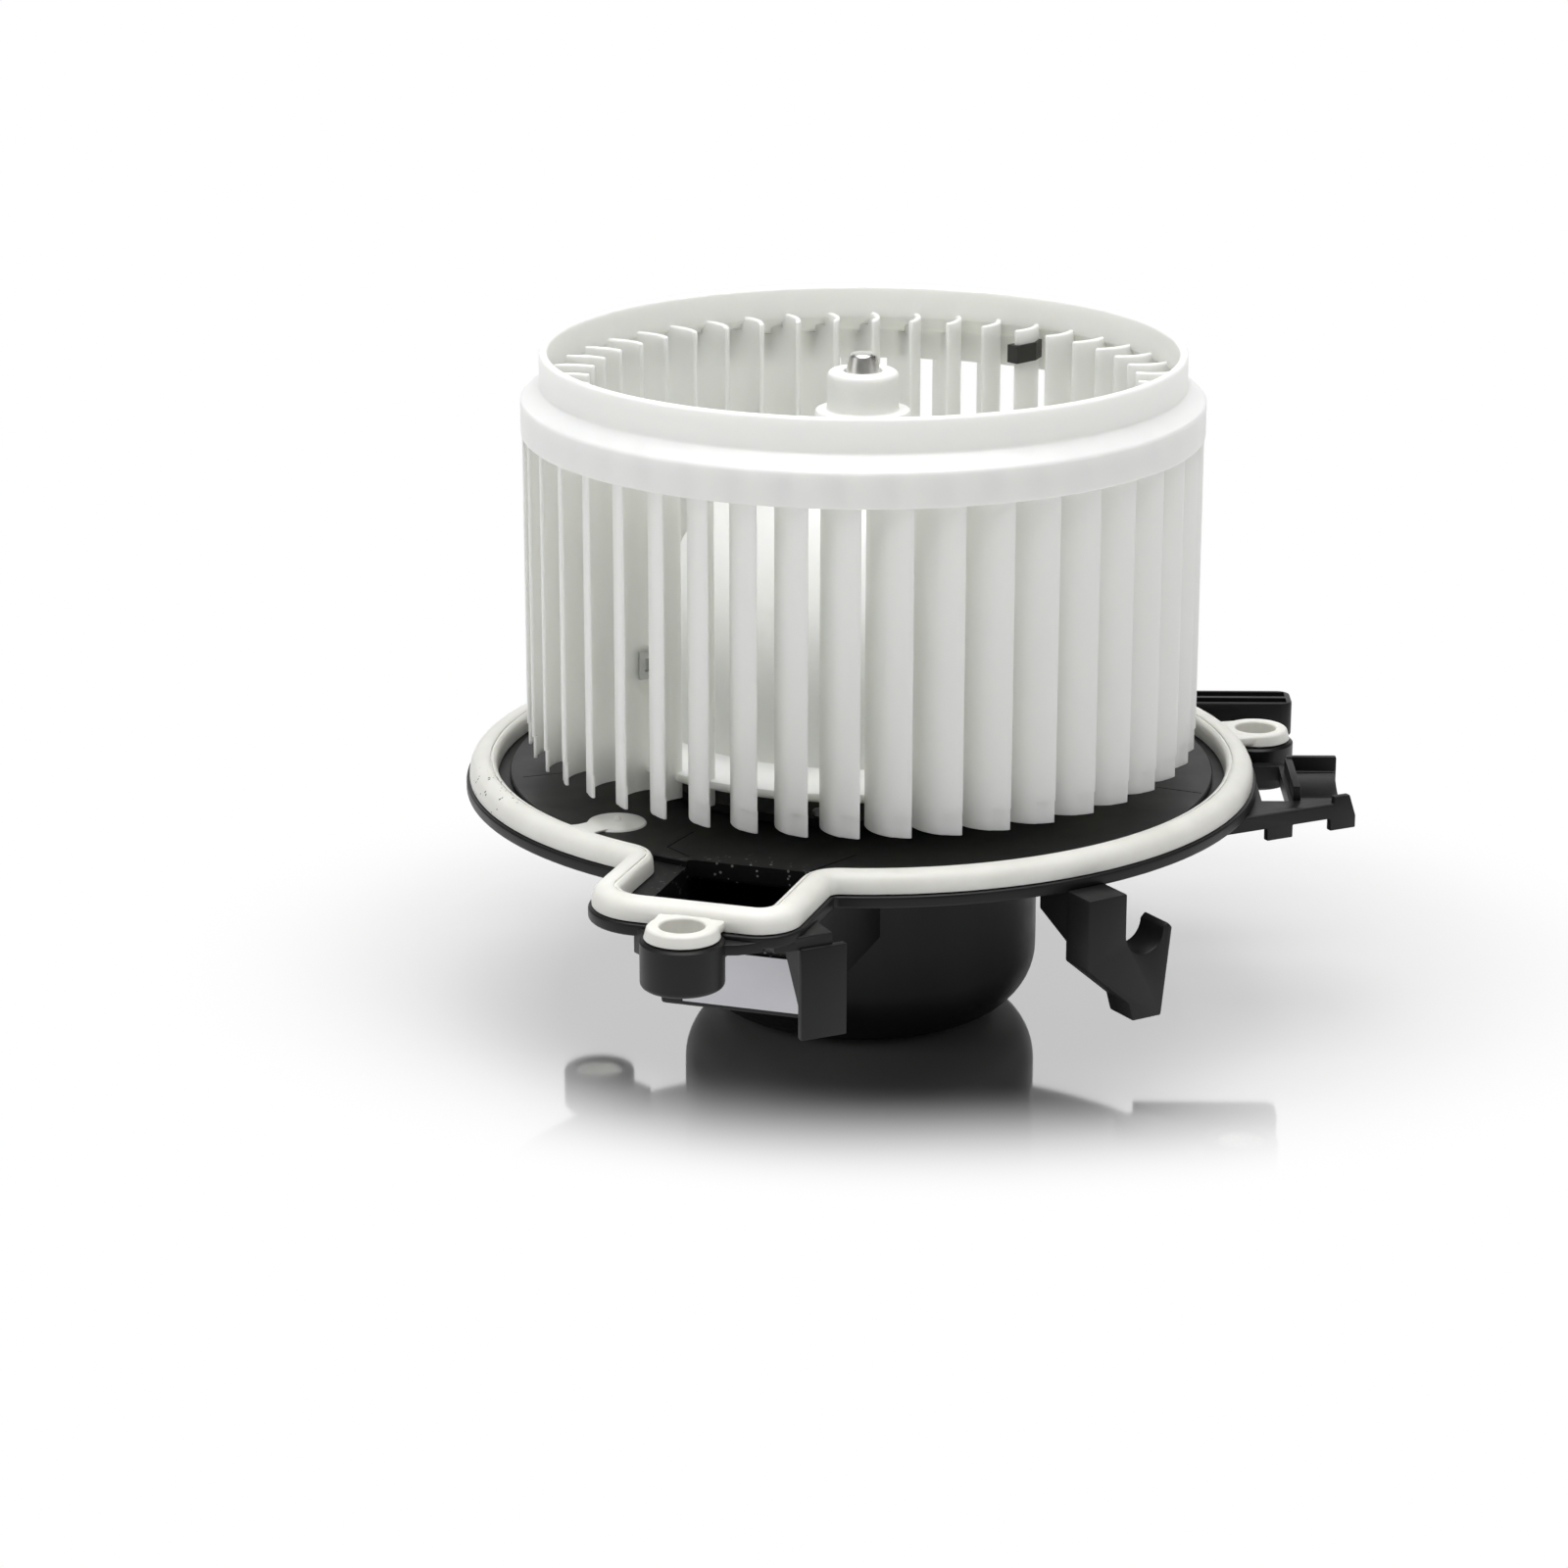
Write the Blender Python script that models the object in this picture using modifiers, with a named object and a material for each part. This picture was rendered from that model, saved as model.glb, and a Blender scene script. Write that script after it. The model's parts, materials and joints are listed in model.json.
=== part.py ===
"""Car cabin blower motor: a forward-curved blower wheel on a brushed motor in a moulded carrier.

The carrier's rim holds a soft seal, three screw bosses and the clips for the lead.  The motor stands
in the carrier's cup on rubber rings, and its shaft carries the wheel.  The origin is on the shaft's
axis at the flat underside of the cup, with +Z up along the shaft.  All sizes are in metres.
"""
import math

import bmesh
import bpy
from mathutils import Matrix, Vector

# Clearances
FIT = 0.0003
RUN_GAP = 0.0007

# Carrier: cup, raised disc and rim
CUP_RADIUS = 0.0425
CUP_WALL = 0.0025
CUP_CORNER = 0.0150
CUP_EDGE_FILLET = 0.0030
RIM_HEIGHT = 0.0551
RIM_THICKNESS = 0.0028
RIM_MARGIN = 0.0008
RIM_LAP = 0.0060
DISC_RADIUS = 0.0840
DISC_STEP = 0.0016

# Seal: the bead's centreline runs round the rim and out round the cooling-air pocket
BEAD_RADIUS = 0.0902
BEAD_WIDTH = 0.0068
BEAD_HEIGHT = 0.0046
BEAD_FOOT = 0.0012
POCKET_ANGLE = math.radians(-107.3)
POCKET_LEFT = 0.0236
POCKET_RIGHT = 0.0184
POCKET_FRONT = 0.1185
POCKET_LEFT_CORNER = 0.0100
POCKET_RIGHT_CORNER = 0.0060
POCKET_NECK_FILLET = 0.0055
PAD_RADIUS = 0.0069
PAD_THICKNESS = 0.0010
PAD_NUB_RADIUS = 0.0009
PAD_ANGLE = math.radians(-142.0)
PAD_REACH = 0.0715
RUNNER_WIDTH = 0.0030

# Cooling-air pocket and duct, measured outwards along the pocket's direction
DUCT_FRONT = 0.0950
DUCT_HALF_WIDTH = 0.0170
DUCT_WALL = 0.0020
DUCT_DEPTH = 0.0255
POCKET_MOUTH_FRONT = 0.1065
POCKET_MOUTH_BACK = 0.0820
POCKET_MOUTH_SLOPE = 0.0110

# Screw bosses with their soft grommet rings
BOSS_RADIUS = 0.0092
BOSS_HEIGHT = 0.0108
BOSS_EDGE = 0.0012
BOSS_STEP = 0.0002
FRONT_BOSS_REACH = 0.1276
SIDE_BOSS_REACH = 0.1004
RIGHT_BOSS_ANGLE = math.radians(15.6)
REAR_BOSS_ANGLE = math.radians(133.0)
BOSS_NECK_WIDTH = 0.0130
GROMMET_RADIUS = 0.0078
GROMMET_HEIGHT = 0.0026
GROMMET_EDGE = 0.0010
GROMMET_SLEEVE_RADIUS = 0.0063
GROMMET_BORE = 0.0049

# Clips: their tops lie a little above the rim's underside or the disc
CLIP_RAISE = 0.0004

# Clip plate beside the pocket
TAB_CORNER = (-0.0125, -0.1180)
TAB_TURN = math.radians(27.0)
TAB_WIDTH = 0.0110
TAB_THICKNESS = 0.0020
TAB_DROP = 0.0012
TAB_HEIGHT = 0.0210
TAB_SHELF_THICKNESS = 0.0016
TAB_SHELF_LEFT = 0.0060
TAB_SHELF_RIGHT = 0.0080
TAB_GUSSET_LENGTH = 0.0115

# Lead hook on the right of the front
HOOK_CORNER = (0.0506, -0.0897)
HOOK_TURN = math.radians(32.0)
HOOK_DEPTH = 0.0091
HOOK_ARM_WIDTH = 0.0102
HOOK_NOTCH_RADIUS = 0.0050
HOOK_HORN = 0.0025
HOOK_DROP = 0.0301
HOOK_FOOT_WIDTH = 0.0077
HOOK_FOOT_HEIGHT = 0.0045
HOOK_NOTCH_DROP = 0.0095
HOOK_ARM_LENGTH = 0.0200
HOOK_ARM_TIP_DEPTH = 0.0160
HOOK_ARM_ROOT_DEPTH = 0.0070

# Bracket on the right with a window and a trough for the lead
BRACKET_CORNER = (0.0848, -0.0321)
BRACKET_TURN = math.radians(27.0)
BRACKET_FRONT_LENGTH = 0.0300
BRACKET_THICKNESS = 0.0038
BRACKET_WINDOW_X = (0.0948, 0.1012)
BRACKET_WINDOW_Y = (-0.0150, 0.0120)
TROUGH_X = (0.1040, 0.1128)
TROUGH_Y = (-0.0130, 0.0080)
TROUGH_DEPTH = 0.0032
BRACKET_WALL_HEIGHT = 0.0035
BRACKET_WALL_THICKNESS = 0.0018
BRACKET_LEG_STARTS = (0.0118, 0.0292)
BRACKET_LEG_WIDTH = 0.0070
BRACKET_LEG_LENGTH = 0.0027
BRACKET_TAB_WIDTH = 0.0060
BRACKET_TAB_RISE = 0.0018

# Lead channel behind the right boss
CHANNEL_RIGHT = 0.1080
CHANNEL_FRONT = 0.0500
CHANNEL_WIDTH = 0.0120
CHANNEL_HEIGHT = 0.0086
CHANNEL_WALL = 0.0014
CHANNEL_END_ROUND = 0.0030
CHANNEL_SLOT_DEPTH = 0.0045
CHANNEL_FOOT_WIDTH = 0.0160
CHANNEL_FOOT_ANGLE = math.radians(33.0)

# Plug socket at the back of the cup
SOCKET_WIDTH = 0.0214
SOCKET_HEIGHT = 0.0140
SOCKET_REACH = 0.0580
SOCKET_WALL = 0.0018
SOCKET_BACK = 0.0030
TERMINAL_START = 0.0200
TERMINAL_SPACING = 0.0090
TERMINAL_WIDTH = 0.0048
TERMINAL_THICKNESS = 0.0008
TERMINAL_RECESS = 0.0020

# Label on the duct's front
LABEL_WIDTH = 0.0270
LABEL_HEIGHT = 0.0125
LABEL_THICKNESS = 0.0003
LABEL_RAISE = 0.0014
LABEL_SHIFT = 0.0020

# Blower wheel
BLADE_COUNT = 43
WHEEL_RADIUS = 0.0800
WHEEL_CLEARANCE = 0.0035
BLADE_OVERHANG = 0.0038
BLADE_SPAN = 0.0753
BLADE_DEPTH = 0.0155
BLADE_THICKNESS = 0.0013
BLADE_SINK = 0.0007
BLADE_INLET = math.radians(-24.0)
BLADE_OUTLET = math.radians(84.0)
BLADE_SEGMENTS = 4
BLADE_TOP_RISE = 0.0010
FIRST_TIP_ANGLE = math.radians(-90.4)
PLATE_THICKNESS = 0.0025
PLATE_LAP = 0.0015
DOME_SETBACK = 0.0125
DOME_WALL = 0.0020
BAND_HEIGHT = 0.0080
SHOULDER_RISE = 0.0033
COLLAR_SETBACK = 0.0045
COLLAR_HEIGHT = 0.0080
RING_WALL = 0.0020
LIP_ROUND = 0.0006
HUB_BELOW_LIP = 0.0065
HUB_RADIUS = 0.0084
HUB_BOSS_HEIGHT = 0.0082
HUB_COLLAR_RADIUS = 0.0112
HUB_COLLAR_HEIGHT = 0.0032
HUB_SKIRT = 0.0300

# Balance clips on two of the blades
CLIP_THICKNESS = 0.0007
DARK_CLIP_BLADE = 18
DARK_CLIP_LENGTH = 0.0088
DARK_CLIP_HEIGHT = 0.0044
DARK_CLIP_ABOVE_BAND = 0.0010
STEEL_CLIP_BLADE = 38
STEEL_CLIP_LENGTH = 0.0036
STEEL_CLIP_HEIGHT = 0.0066
STEEL_CLIP_ABOVE_PLATE = 0.0206
STEEL_CLIP_WINDOW = (0.0016, 0.0030)

# Motor
YOKE_RADIUS = 0.0365
YOKE_WALL = 0.0020
YOKE_CORNER = 0.0040
YOKE_HEADROOM = 0.0063
YOKE_VENT_COUNT = 4
YOKE_VENT_RADII = (0.0160, 0.0270)
YOKE_VENT_WIDTH = 0.0090
YOKE_SLOT_MARGIN = 0.0012
YOKE_INTAKE_ABOVE_CARD = 0.0080
YOKE_INTAKE_SIZE = (0.0180, 0.0115)
BEARING_RADIUS = 0.0080
BEARING_HEIGHT = 0.0070
BEARING_CUP_WALL = 0.0015
BEARING_CAP_THICKNESS = 0.0008
SHAFT_RADIUS = 0.0040
SHAFT_STAND = 0.0053
SHAFT_TAPER = 0.0046
SHAFT_TIP_RADIUS = 0.0026
SHAFT_TIP_DOME = 0.0007
MAGNET_THICKNESS = 0.0058
MAGNET_HALF_ANGLE = math.radians(60.0)
MAGNET_CLIP_WALL = 0.0008
CORE_HEIGHT = 0.0360
CORE_MARGIN = 0.0030
CORE_HUB_RADIUS = 0.0115
TOOTH_COUNT = 12
TOOTH_WIDTH = 0.0036
TOOTH_TIP_THICKNESS = 0.0022
SLOT_MOUTH = 0.0024
WINDING_HEAD = 0.0080
WINDING_GAP = 0.0006
END_PLATE_THICKNESS = 0.0020
BRUSH_CARD_GAP = 0.0075
BRUSH_CARD_THICKNESS = 0.0016
CARD_HOLE_MARGIN = 0.0020
CARD_LEG_COUNT = 3
CARD_LEG_RADIUS = 0.0025
CARD_LEG_INSET = 0.0050
CARD_LEG_ANGLE = math.radians(30.0)
COMMUTATOR_RADIUS = 0.0110
COMMUTATOR_LENGTH = 0.0125
COMMUTATOR_RISER = 0.0022
BRUSH_WIDTH = 0.0060
BRUSH_HEIGHT = 0.0055
BRUSH_LENGTH = 0.0095
HOLDER_WALL = 0.0008
HOLDER_SETBACK = 0.0020
SPRING_LENGTH = 0.0060
SPRING_RADIUS = 0.0020
SPRING_WIRE = 0.00028
SPRING_TURNS = 4
SPRING_STEPS = 6
CHOKE_RADIUS = 0.0027
CHOKE_LENGTH = 0.0110
CHOKE_PLACE = (0.0100, -0.0200)
CAPACITOR_SIZE = (0.0085, 0.0035, 0.0060)
CAPACITOR_FRONT = -0.0300
DAMPER_HEIGHT = 0.0080
DAMPER_FOOT_HEIGHT = 0.0040
DAMPER_FOOT_RADIUS = 0.0180
RETAINER_RADIUS = 0.0520
RETAINER_THICKNESS = 0.0020
RETAINER_SCREW_COUNT = 3
RETAINER_SCREW_RADIUS = 0.0015
RETAINER_SCREW_HEAD = 0.0027
RETAINER_SCREW_RISE = 0.0016
RETAINER_SCREW_LENGTH = 0.0062
RETAINER_SCREW_ANGLE = math.radians(20.0)

# Heights that follow
DUCT_BOTTOM = RIM_HEIGHT - DUCT_DEPTH
TAB_TOP = RIM_HEIGHT - TAB_DROP
TAB_BOTTOM = TAB_TOP - TAB_HEIGHT
HOOK_FOOT = RIM_HEIGHT - HOOK_DROP
RIM_TOP = RIM_HEIGHT + RIM_THICKNESS
DISC_TOP = RIM_TOP + DISC_STEP
BEAD_BASE = RIM_TOP + FIT
BEAD_CREST = BEAD_BASE + BEAD_HEIGHT
BLADE_FOOT = BEAD_CREST + WHEEL_CLEARANCE
PLATE_BOTTOM = BLADE_FOOT + BLADE_OVERHANG
PLATE_TOP = PLATE_BOTTOM + PLATE_THICKNESS
STEEL_CLIP_FOOT = PLATE_TOP + STEEL_CLIP_ABOVE_PLATE
BAND_BOTTOM = BLADE_FOOT + BLADE_SPAN
BAND_TOP = BAND_BOTTOM + BAND_HEIGHT
COLLAR_FOOT = BAND_TOP + SHOULDER_RISE
COLLAR_TOP = COLLAR_FOOT + COLLAR_HEIGHT
BLADE_TOP = COLLAR_FOOT + BLADE_TOP_RISE
HUB_TOP = COLLAR_TOP - HUB_BELOW_LIP
DOME_TOP = HUB_TOP - HUB_BOSS_HEIGHT - HUB_COLLAR_HEIGHT
SHAFT_TOP = HUB_TOP + SHAFT_STAND
YOKE_BOTTOM = CUP_WALL + DAMPER_FOOT_HEIGHT + 2 * FIT
LOWER_BEARING = YOKE_BOTTOM + FIT
END_PLATE_TOP = YOKE_BOTTOM + END_PLATE_THICKNESS
CARD_BOTTOM = END_PLATE_TOP + BRUSH_CARD_GAP
CARD_TOP = CARD_BOTTOM + BRUSH_CARD_THICKNESS
COMMUTATOR_BOTTOM = CARD_TOP + FIT
COMMUTATOR_TOP = COMMUTATOR_BOTTOM + COMMUTATOR_LENGTH
CORE_BOTTOM = COMMUTATOR_TOP + WINDING_HEAD + 3 * FIT
CORE_TOP = CORE_BOTTOM + CORE_HEIGHT
YOKE_TOP = CORE_TOP + FIT + WINDING_HEAD + YOKE_HEADROOM + YOKE_WALL
UPPER_BEARING = YOKE_TOP - YOKE_WALL

# Radii that follow
BLADE_INNER_RADIUS = WHEEL_RADIUS - BLADE_DEPTH
PLATE_RADIUS = BLADE_INNER_RADIUS + PLATE_LAP
DOME_RADIUS = BLADE_INNER_RADIUS - DOME_SETBACK
COLLAR_RADIUS = WHEEL_RADIUS - COLLAR_SETBACK
BORE_RADIUS = SHAFT_RADIUS + FIT
YOKE_INSIDE = YOKE_RADIUS - YOKE_WALL
MAGNET_OUTSIDE = YOKE_INSIDE - 2 * FIT
MAGNET_INSIDE = MAGNET_OUTSIDE - MAGNET_THICKNESS
CORE_RADIUS = MAGNET_INSIDE - RUN_GAP
BEARING_SEAT = BEARING_RADIUS + FIT
BEARING_CUP_RADIUS = BEARING_SEAT + BEARING_CUP_WALL
CUP_INSIDE = CUP_RADIUS - CUP_WALL

# Segments round a full turn, along the rim's main arc and over the bead
WHEEL_STEPS = 64
CARRIER_STEPS = 40
HUB_STEPS = 36
MOTOR_STEPS = 24
SMALL_STEPS = 16
RIM_ARC_STEPS = 40
BEAD_STEPS = 4

BLACK_PLASTIC = ("black_plastic", (0.018, 0.018, 0.019, 1.0), 0.42, 0.0)
WHITE_PLASTIC = ("white_plastic", (0.80, 0.81, 0.76, 1.0), 0.38, 0.0)
SOFT_WHITE = ("soft_white", (0.82, 0.81, 0.76, 1.0), 0.55, 0.0)
LABEL_WHITE = ("label_white", (0.78, 0.78, 0.80, 1.0), 0.60, 0.0)
ZINC_STEEL = ("zinc_steel", (0.60, 0.60, 0.58, 1.0), 0.35, 1.0)
BRIGHT_STEEL = ("bright_steel", (0.55, 0.54, 0.52, 1.0), 0.22, 1.0)
DARK_STEEL = ("dark_steel", (0.04, 0.04, 0.04, 1.0), 0.45, 0.6)
FERRITE = ("ferrite", (0.05, 0.05, 0.055, 1.0), 0.70, 0.0)
COPPER = ("copper", (0.72, 0.36, 0.20, 1.0), 0.35, 1.0)
BRASS = ("brass", (0.75, 0.58, 0.28, 1.0), 0.35, 1.0)
BRONZE = ("bronze", (0.50, 0.34, 0.18, 1.0), 0.50, 1.0)
CARBON = ("carbon", (0.03, 0.03, 0.03, 1.0), 0.60, 0.0)
CARD_BROWN = ("card_brown", (0.25, 0.14, 0.07, 1.0), 0.60, 0.0)
RUBBER = ("rubber", (0.02, 0.02, 0.02, 1.0), 0.85, 0.0)


def clear_scene():
    """Take every object out of the open file."""
    for old in list(bpy.data.objects):
        bpy.data.objects.remove(old, do_unlink=True)


def new_collection(name):
    """Add a collection to the scene."""
    collection = bpy.data.collections.new(name)
    bpy.context.scene.collection.children.link(collection)
    return collection


clear_scene()
PARTS = new_collection("car_cabin_blower_motor")
CUTTERS = new_collection("cutters")


def material(finish):
    """Return the Principled material of a finish, made once."""
    name, colour, roughness, metallic = finish
    found = bpy.data.materials.get(name)
    if found:
        return found
    made = bpy.data.materials.new(name)
    made.use_nodes = True
    made.diffuse_color = colour
    shader = made.node_tree.nodes["Principled BSDF"]
    shader.inputs["Base Color"].default_value = colour
    shader.inputs["Roughness"].default_value = roughness
    shader.inputs["Metallic"].default_value = metallic
    return made


def place(name, mesh, finish=None):
    """Put a mesh in the scene: a part if it has a finish, and otherwise a cutter."""
    made = bpy.data.objects.new(name, mesh)
    if finish is None:
        CUTTERS.objects.link(made)
        made.hide_render = True
        made.display_type = "WIRE"
        return made
    PARTS.objects.link(made)
    mesh.materials.append(material(finish))
    return made


def mesh_from(name, builder):
    """Close a bmesh into a mesh with smooth shading and sharp edges."""
    mesh = bpy.data.meshes.new(name)
    builder.to_mesh(mesh)
    builder.free()
    mesh.shade_smooth()
    mesh.set_sharp_from_angle(angle=math.radians(35.0))
    return mesh


def box_mesh(name, low, high):
    """A box between two corners."""
    builder = bmesh.new()
    bmesh.ops.create_cube(builder, size=1.0)
    size = Vector(high) - Vector(low)
    middle = (Vector(high) + Vector(low)) / 2
    bmesh.ops.scale(builder, vec=size, verts=builder.verts)
    bmesh.ops.translate(builder, vec=middle, verts=builder.verts)
    return mesh_from(name, builder)


def cylinder_mesh(name, radius, low, high, steps=SMALL_STEPS, centre=(0.0, 0.0)):
    """An upright cylinder between two heights."""
    builder = bmesh.new()
    bmesh.ops.create_cone(builder, cap_ends=True, segments=steps, radius1=radius, radius2=radius,
                          depth=high - low)
    bmesh.ops.translate(builder, vec=(centre[0], centre[1], (low + high) / 2), verts=builder.verts)
    return mesh_from(name, builder)


def turned(name, profile, steps, finish=None, closed=True):
    """Turn a profile of (radius, height) points round Z; its outer side runs top to bottom."""
    builder = bmesh.new()
    points = [builder.verts.new((radius, 0.0, height)) for radius, height in profile]
    for first, second in zip(points, points[1:]):
        builder.edges.new((first, second))
    if closed:
        builder.edges.new((points[-1], points[0]))
    mesh = bpy.data.meshes.new(name)
    builder.to_mesh(mesh)
    builder.free()
    made = place(name, mesh, finish)
    screw = made.modifiers.new("turn", "SCREW")
    screw.angle = math.tau
    screw.steps = steps
    screw.render_steps = steps
    screw.use_merge_vertices = True
    screw.merge_threshold = 0.00001
    screw.use_smooth_shade = True
    return made


def outline_mesh(name, outlines, low, high):
    """Fill flat outlines, the second and later ones as holes, and extrude them between two heights."""
    curve = bpy.data.curves.new(name, "CURVE")
    curve.dimensions = "2D"
    curve.fill_mode = "BOTH"
    curve.extrude = (high - low) / 2
    for outline in outlines:
        spline = curve.splines.new("POLY")
        spline.points.add(len(outline) - 1)
        for point, (x, y) in zip(spline.points, outline):
            point.co = (x, y, 0.0, 1.0)
        spline.use_cyclic_u = True
    carrier = bpy.data.objects.new(name, curve)
    bpy.context.scene.collection.objects.link(carrier)
    graph = bpy.context.evaluated_depsgraph_get()
    mesh = bpy.data.meshes.new_from_object(carrier.evaluated_get(graph))
    bpy.data.objects.remove(carrier, do_unlink=True)
    bpy.data.curves.remove(curve)
    builder = bmesh.new()
    builder.from_mesh(mesh)
    bpy.data.meshes.remove(mesh)
    bmesh.ops.remove_doubles(builder, verts=builder.verts, dist=0.000001)
    bmesh.ops.dissolve_limit(builder, angle_limit=0.001, verts=builder.verts, edges=builder.edges)
    bmesh.ops.translate(builder, vec=(0.0, 0.0, (low + high) / 2), verts=builder.verts)
    return mesh_from(name, builder)


def upright_mesh(name, outline, depth, corner=(0.0, 0.0), turn=0.0):
    """Extrude an outline of (along, height) points backwards from a vertical face.

    The face starts at a corner and runs along a direction turned from +X; the depth goes to its left.
    """
    builder = bmesh.new()
    points = [builder.verts.new((along, 0.0, height)) for along, height in outline]
    face = builder.faces.new(points)
    swept = bmesh.ops.extrude_face_region(builder, geom=[face])
    moved = [item for item in swept["geom"] if isinstance(item, bmesh.types.BMVert)]
    bmesh.ops.translate(builder, vec=(0.0, depth, 0.0), verts=moved)
    bmesh.ops.recalc_face_normals(builder, faces=builder.faces)
    where = Matrix.Translation((corner[0], corner[1], 0.0)) @ Matrix.Rotation(turn, 4, "Z")
    bmesh.ops.transform(builder, matrix=where, verts=builder.verts)
    return mesh_from(name, builder)


def turn_to(mesh, angle):
    """Turn a mesh round Z, so that its +X points at an angle."""
    mesh.transform(Matrix.Rotation(angle, 4, "Z"))
    return mesh


def combine(target, operation, *tools):
    """Unite meshes or turned cutters with a part, or cut them from it."""
    for tool in tools:
        if not isinstance(tool, bpy.types.Object):
            tool = place(tool.name, tool)
        step = target.modifiers.new(tool.name, "BOOLEAN")
        step.operation = operation
        step.object = tool


def unite(target, *tools):
    combine(target, "UNION", *tools)


def cut(target, *tools):
    combine(target, "DIFFERENCE", *tools)


def polar(radius, angle):
    """A plan point from its radius and angle."""
    return Vector((radius * math.cos(angle), radius * math.sin(angle)))


def arc(centre, radius, start, end, steps):
    """Plan points along an arc, both ends included."""
    turns = [start + (end - start) * step / steps for step in range(steps + 1)]
    return [Vector(centre) + polar(radius, angle) for angle in turns]


def pocket_place(out, across):
    """A plan point from its distance along the pocket's direction and across it."""
    return polar(out, POCKET_ANGLE) + polar(across, POCKET_ANGLE + math.pi / 2)


def bead_route(offset=0.0):
    """The bead's closed centreline in plan, or a line offset outwards from it.

    It is one round of the rim, broken by fillets into a detour with two legs and two round corners.
    """
    fillet = POCKET_NECK_FILLET - offset
    route = []
    necks = []
    for side in (-POCKET_LEFT, POCKET_RIGHT):
        across = side + math.copysign(POCKET_NECK_FILLET, side)
        out = math.sqrt((BEAD_RADIUS + POCKET_NECK_FILLET) ** 2 - across ** 2)
        necks.append((Vector((out, across)), math.atan2(across, out)))
    (left_centre, left_angle), (right_centre, right_angle) = necks
    left_corner = (POCKET_FRONT - POCKET_LEFT_CORNER, -POCKET_LEFT + POCKET_LEFT_CORNER)
    right_corner = (POCKET_FRONT - POCKET_RIGHT_CORNER, POCKET_RIGHT - POCKET_RIGHT_CORNER)
    route += arc((0.0, 0.0), BEAD_RADIUS + offset, right_angle, left_angle + math.tau,
                 RIM_ARC_STEPS)
    route += arc(left_centre, fillet, left_angle + math.pi, math.pi / 2, 4)
    route += arc(left_corner, POCKET_LEFT_CORNER + offset, -math.pi / 2, 0.0, 6)
    route += arc(right_corner, POCKET_RIGHT_CORNER + offset, 0.0, math.pi / 2, 5)
    route += arc(right_centre, fillet, -math.pi / 2, right_angle - math.pi, 4)
    turned_route = [pocket_place(point.x, point.y) for point in route]
    return [point for point, after in zip(turned_route, turned_route[1:] + turned_route[:1])
            if (point - after).length > 0.00005]


def boss_places():
    """Plan point and angle of each screw boss."""
    return [
        (polar(FRONT_BOSS_REACH, POCKET_ANGLE), POCKET_ANGLE),
        (polar(SIDE_BOSS_REACH, RIGHT_BOSS_ANGLE), RIGHT_BOSS_ANGLE),
        (polar(SIDE_BOSS_REACH, REAR_BOSS_ANGLE), REAR_BOSS_ANGLE),
    ]


def corner_arc(centre, radius, start, end, steps):
    """Profile points (radius, height) along a rounded corner."""
    return [(point.x, point.y) for point in arc(centre, radius, start, end, steps)]


def cup_and_disc():
    """The turned cup, open at the top, and the raised disc round its mouth."""
    flat = CUP_RADIUS - CUP_CORNER
    corner = (flat, CUP_CORNER)
    fillet_centre = (CUP_RADIUS + CUP_EDGE_FILLET, RIM_HEIGHT - CUP_EDGE_FILLET)
    profile = [(0.0, CUP_WALL)]
    profile += corner_arc(corner, CUP_CORNER - CUP_WALL, -math.pi / 2, 0.0, 3)
    profile += [(CUP_INSIDE, DISC_TOP), (DISC_RADIUS, DISC_TOP), (DISC_RADIUS, RIM_HEIGHT)]
    profile += corner_arc(fillet_centre, CUP_EDGE_FILLET, math.pi / 2, math.pi, 2)
    profile += corner_arc(corner, CUP_CORNER, 0.0, -math.pi / 2, 4)
    profile += [(0.0, 0.0)]
    return turned("motor_carrier", profile, CARRIER_STEPS, BLACK_PLASTIC, closed=False)


def from_cup_wall(mesh):
    """Trim a solid so that it starts in the middle of the cup's wall."""
    solid = place(mesh.name, mesh)
    core = cylinder_mesh(f"{mesh.name}_core", CUP_RADIUS - CUP_WALL / 2, CUP_WALL, DISC_TOP + CUP_WALL,
                         CARRIER_STEPS)
    cut(solid, core)
    return solid


def duct_mesh(name, outline, half_width):
    """Extrude a side view of (outwards, height) points across the pocket's direction."""
    mesh = upright_mesh(name, outline, 2 * half_width)
    mesh.transform(Matrix.Translation((0.0, -half_width, 0.0)))
    return turn_to(mesh, POCKET_ANGLE)


def duct_shapes():
    """The cooling-air duct under the pocket, its front sloping up to the pocket's mouth."""
    start = CUP_RADIUS / 2
    outer_mouth = POCKET_MOUTH_FRONT + DUCT_WALL
    outer_top = RIM_TOP - RIM_THICKNESS / 2
    outer = [
        (start, DUCT_BOTTOM),
        (DUCT_FRONT, DUCT_BOTTOM),
        (DUCT_FRONT, RIM_HEIGHT - POCKET_MOUTH_SLOPE),
        (outer_mouth, RIM_HEIGHT - DUCT_WALL / 2),
        (outer_mouth, outer_top),
        (start, outer_top),
    ]
    floor = DUCT_BOTTOM + DUCT_WALL
    front = DUCT_FRONT - DUCT_WALL
    above = DISC_TOP + DUCT_WALL
    ceiling = RIM_HEIGHT - FIT
    inner = [
        (start, floor),
        (front, floor),
        (front, RIM_HEIGHT - POCKET_MOUTH_SLOPE),
        (POCKET_MOUTH_FRONT, RIM_HEIGHT + DUCT_WALL / 2),
        (POCKET_MOUTH_FRONT, above),
        (POCKET_MOUTH_BACK, above),
        (POCKET_MOUTH_BACK, ceiling),
        (start, ceiling),
    ]
    return ([from_cup_wall(duct_mesh("duct_outside", outer, DUCT_HALF_WIDTH))],
            [duct_mesh("duct_inside", inner, DUCT_HALF_WIDTH - DUCT_WALL)])


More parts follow.
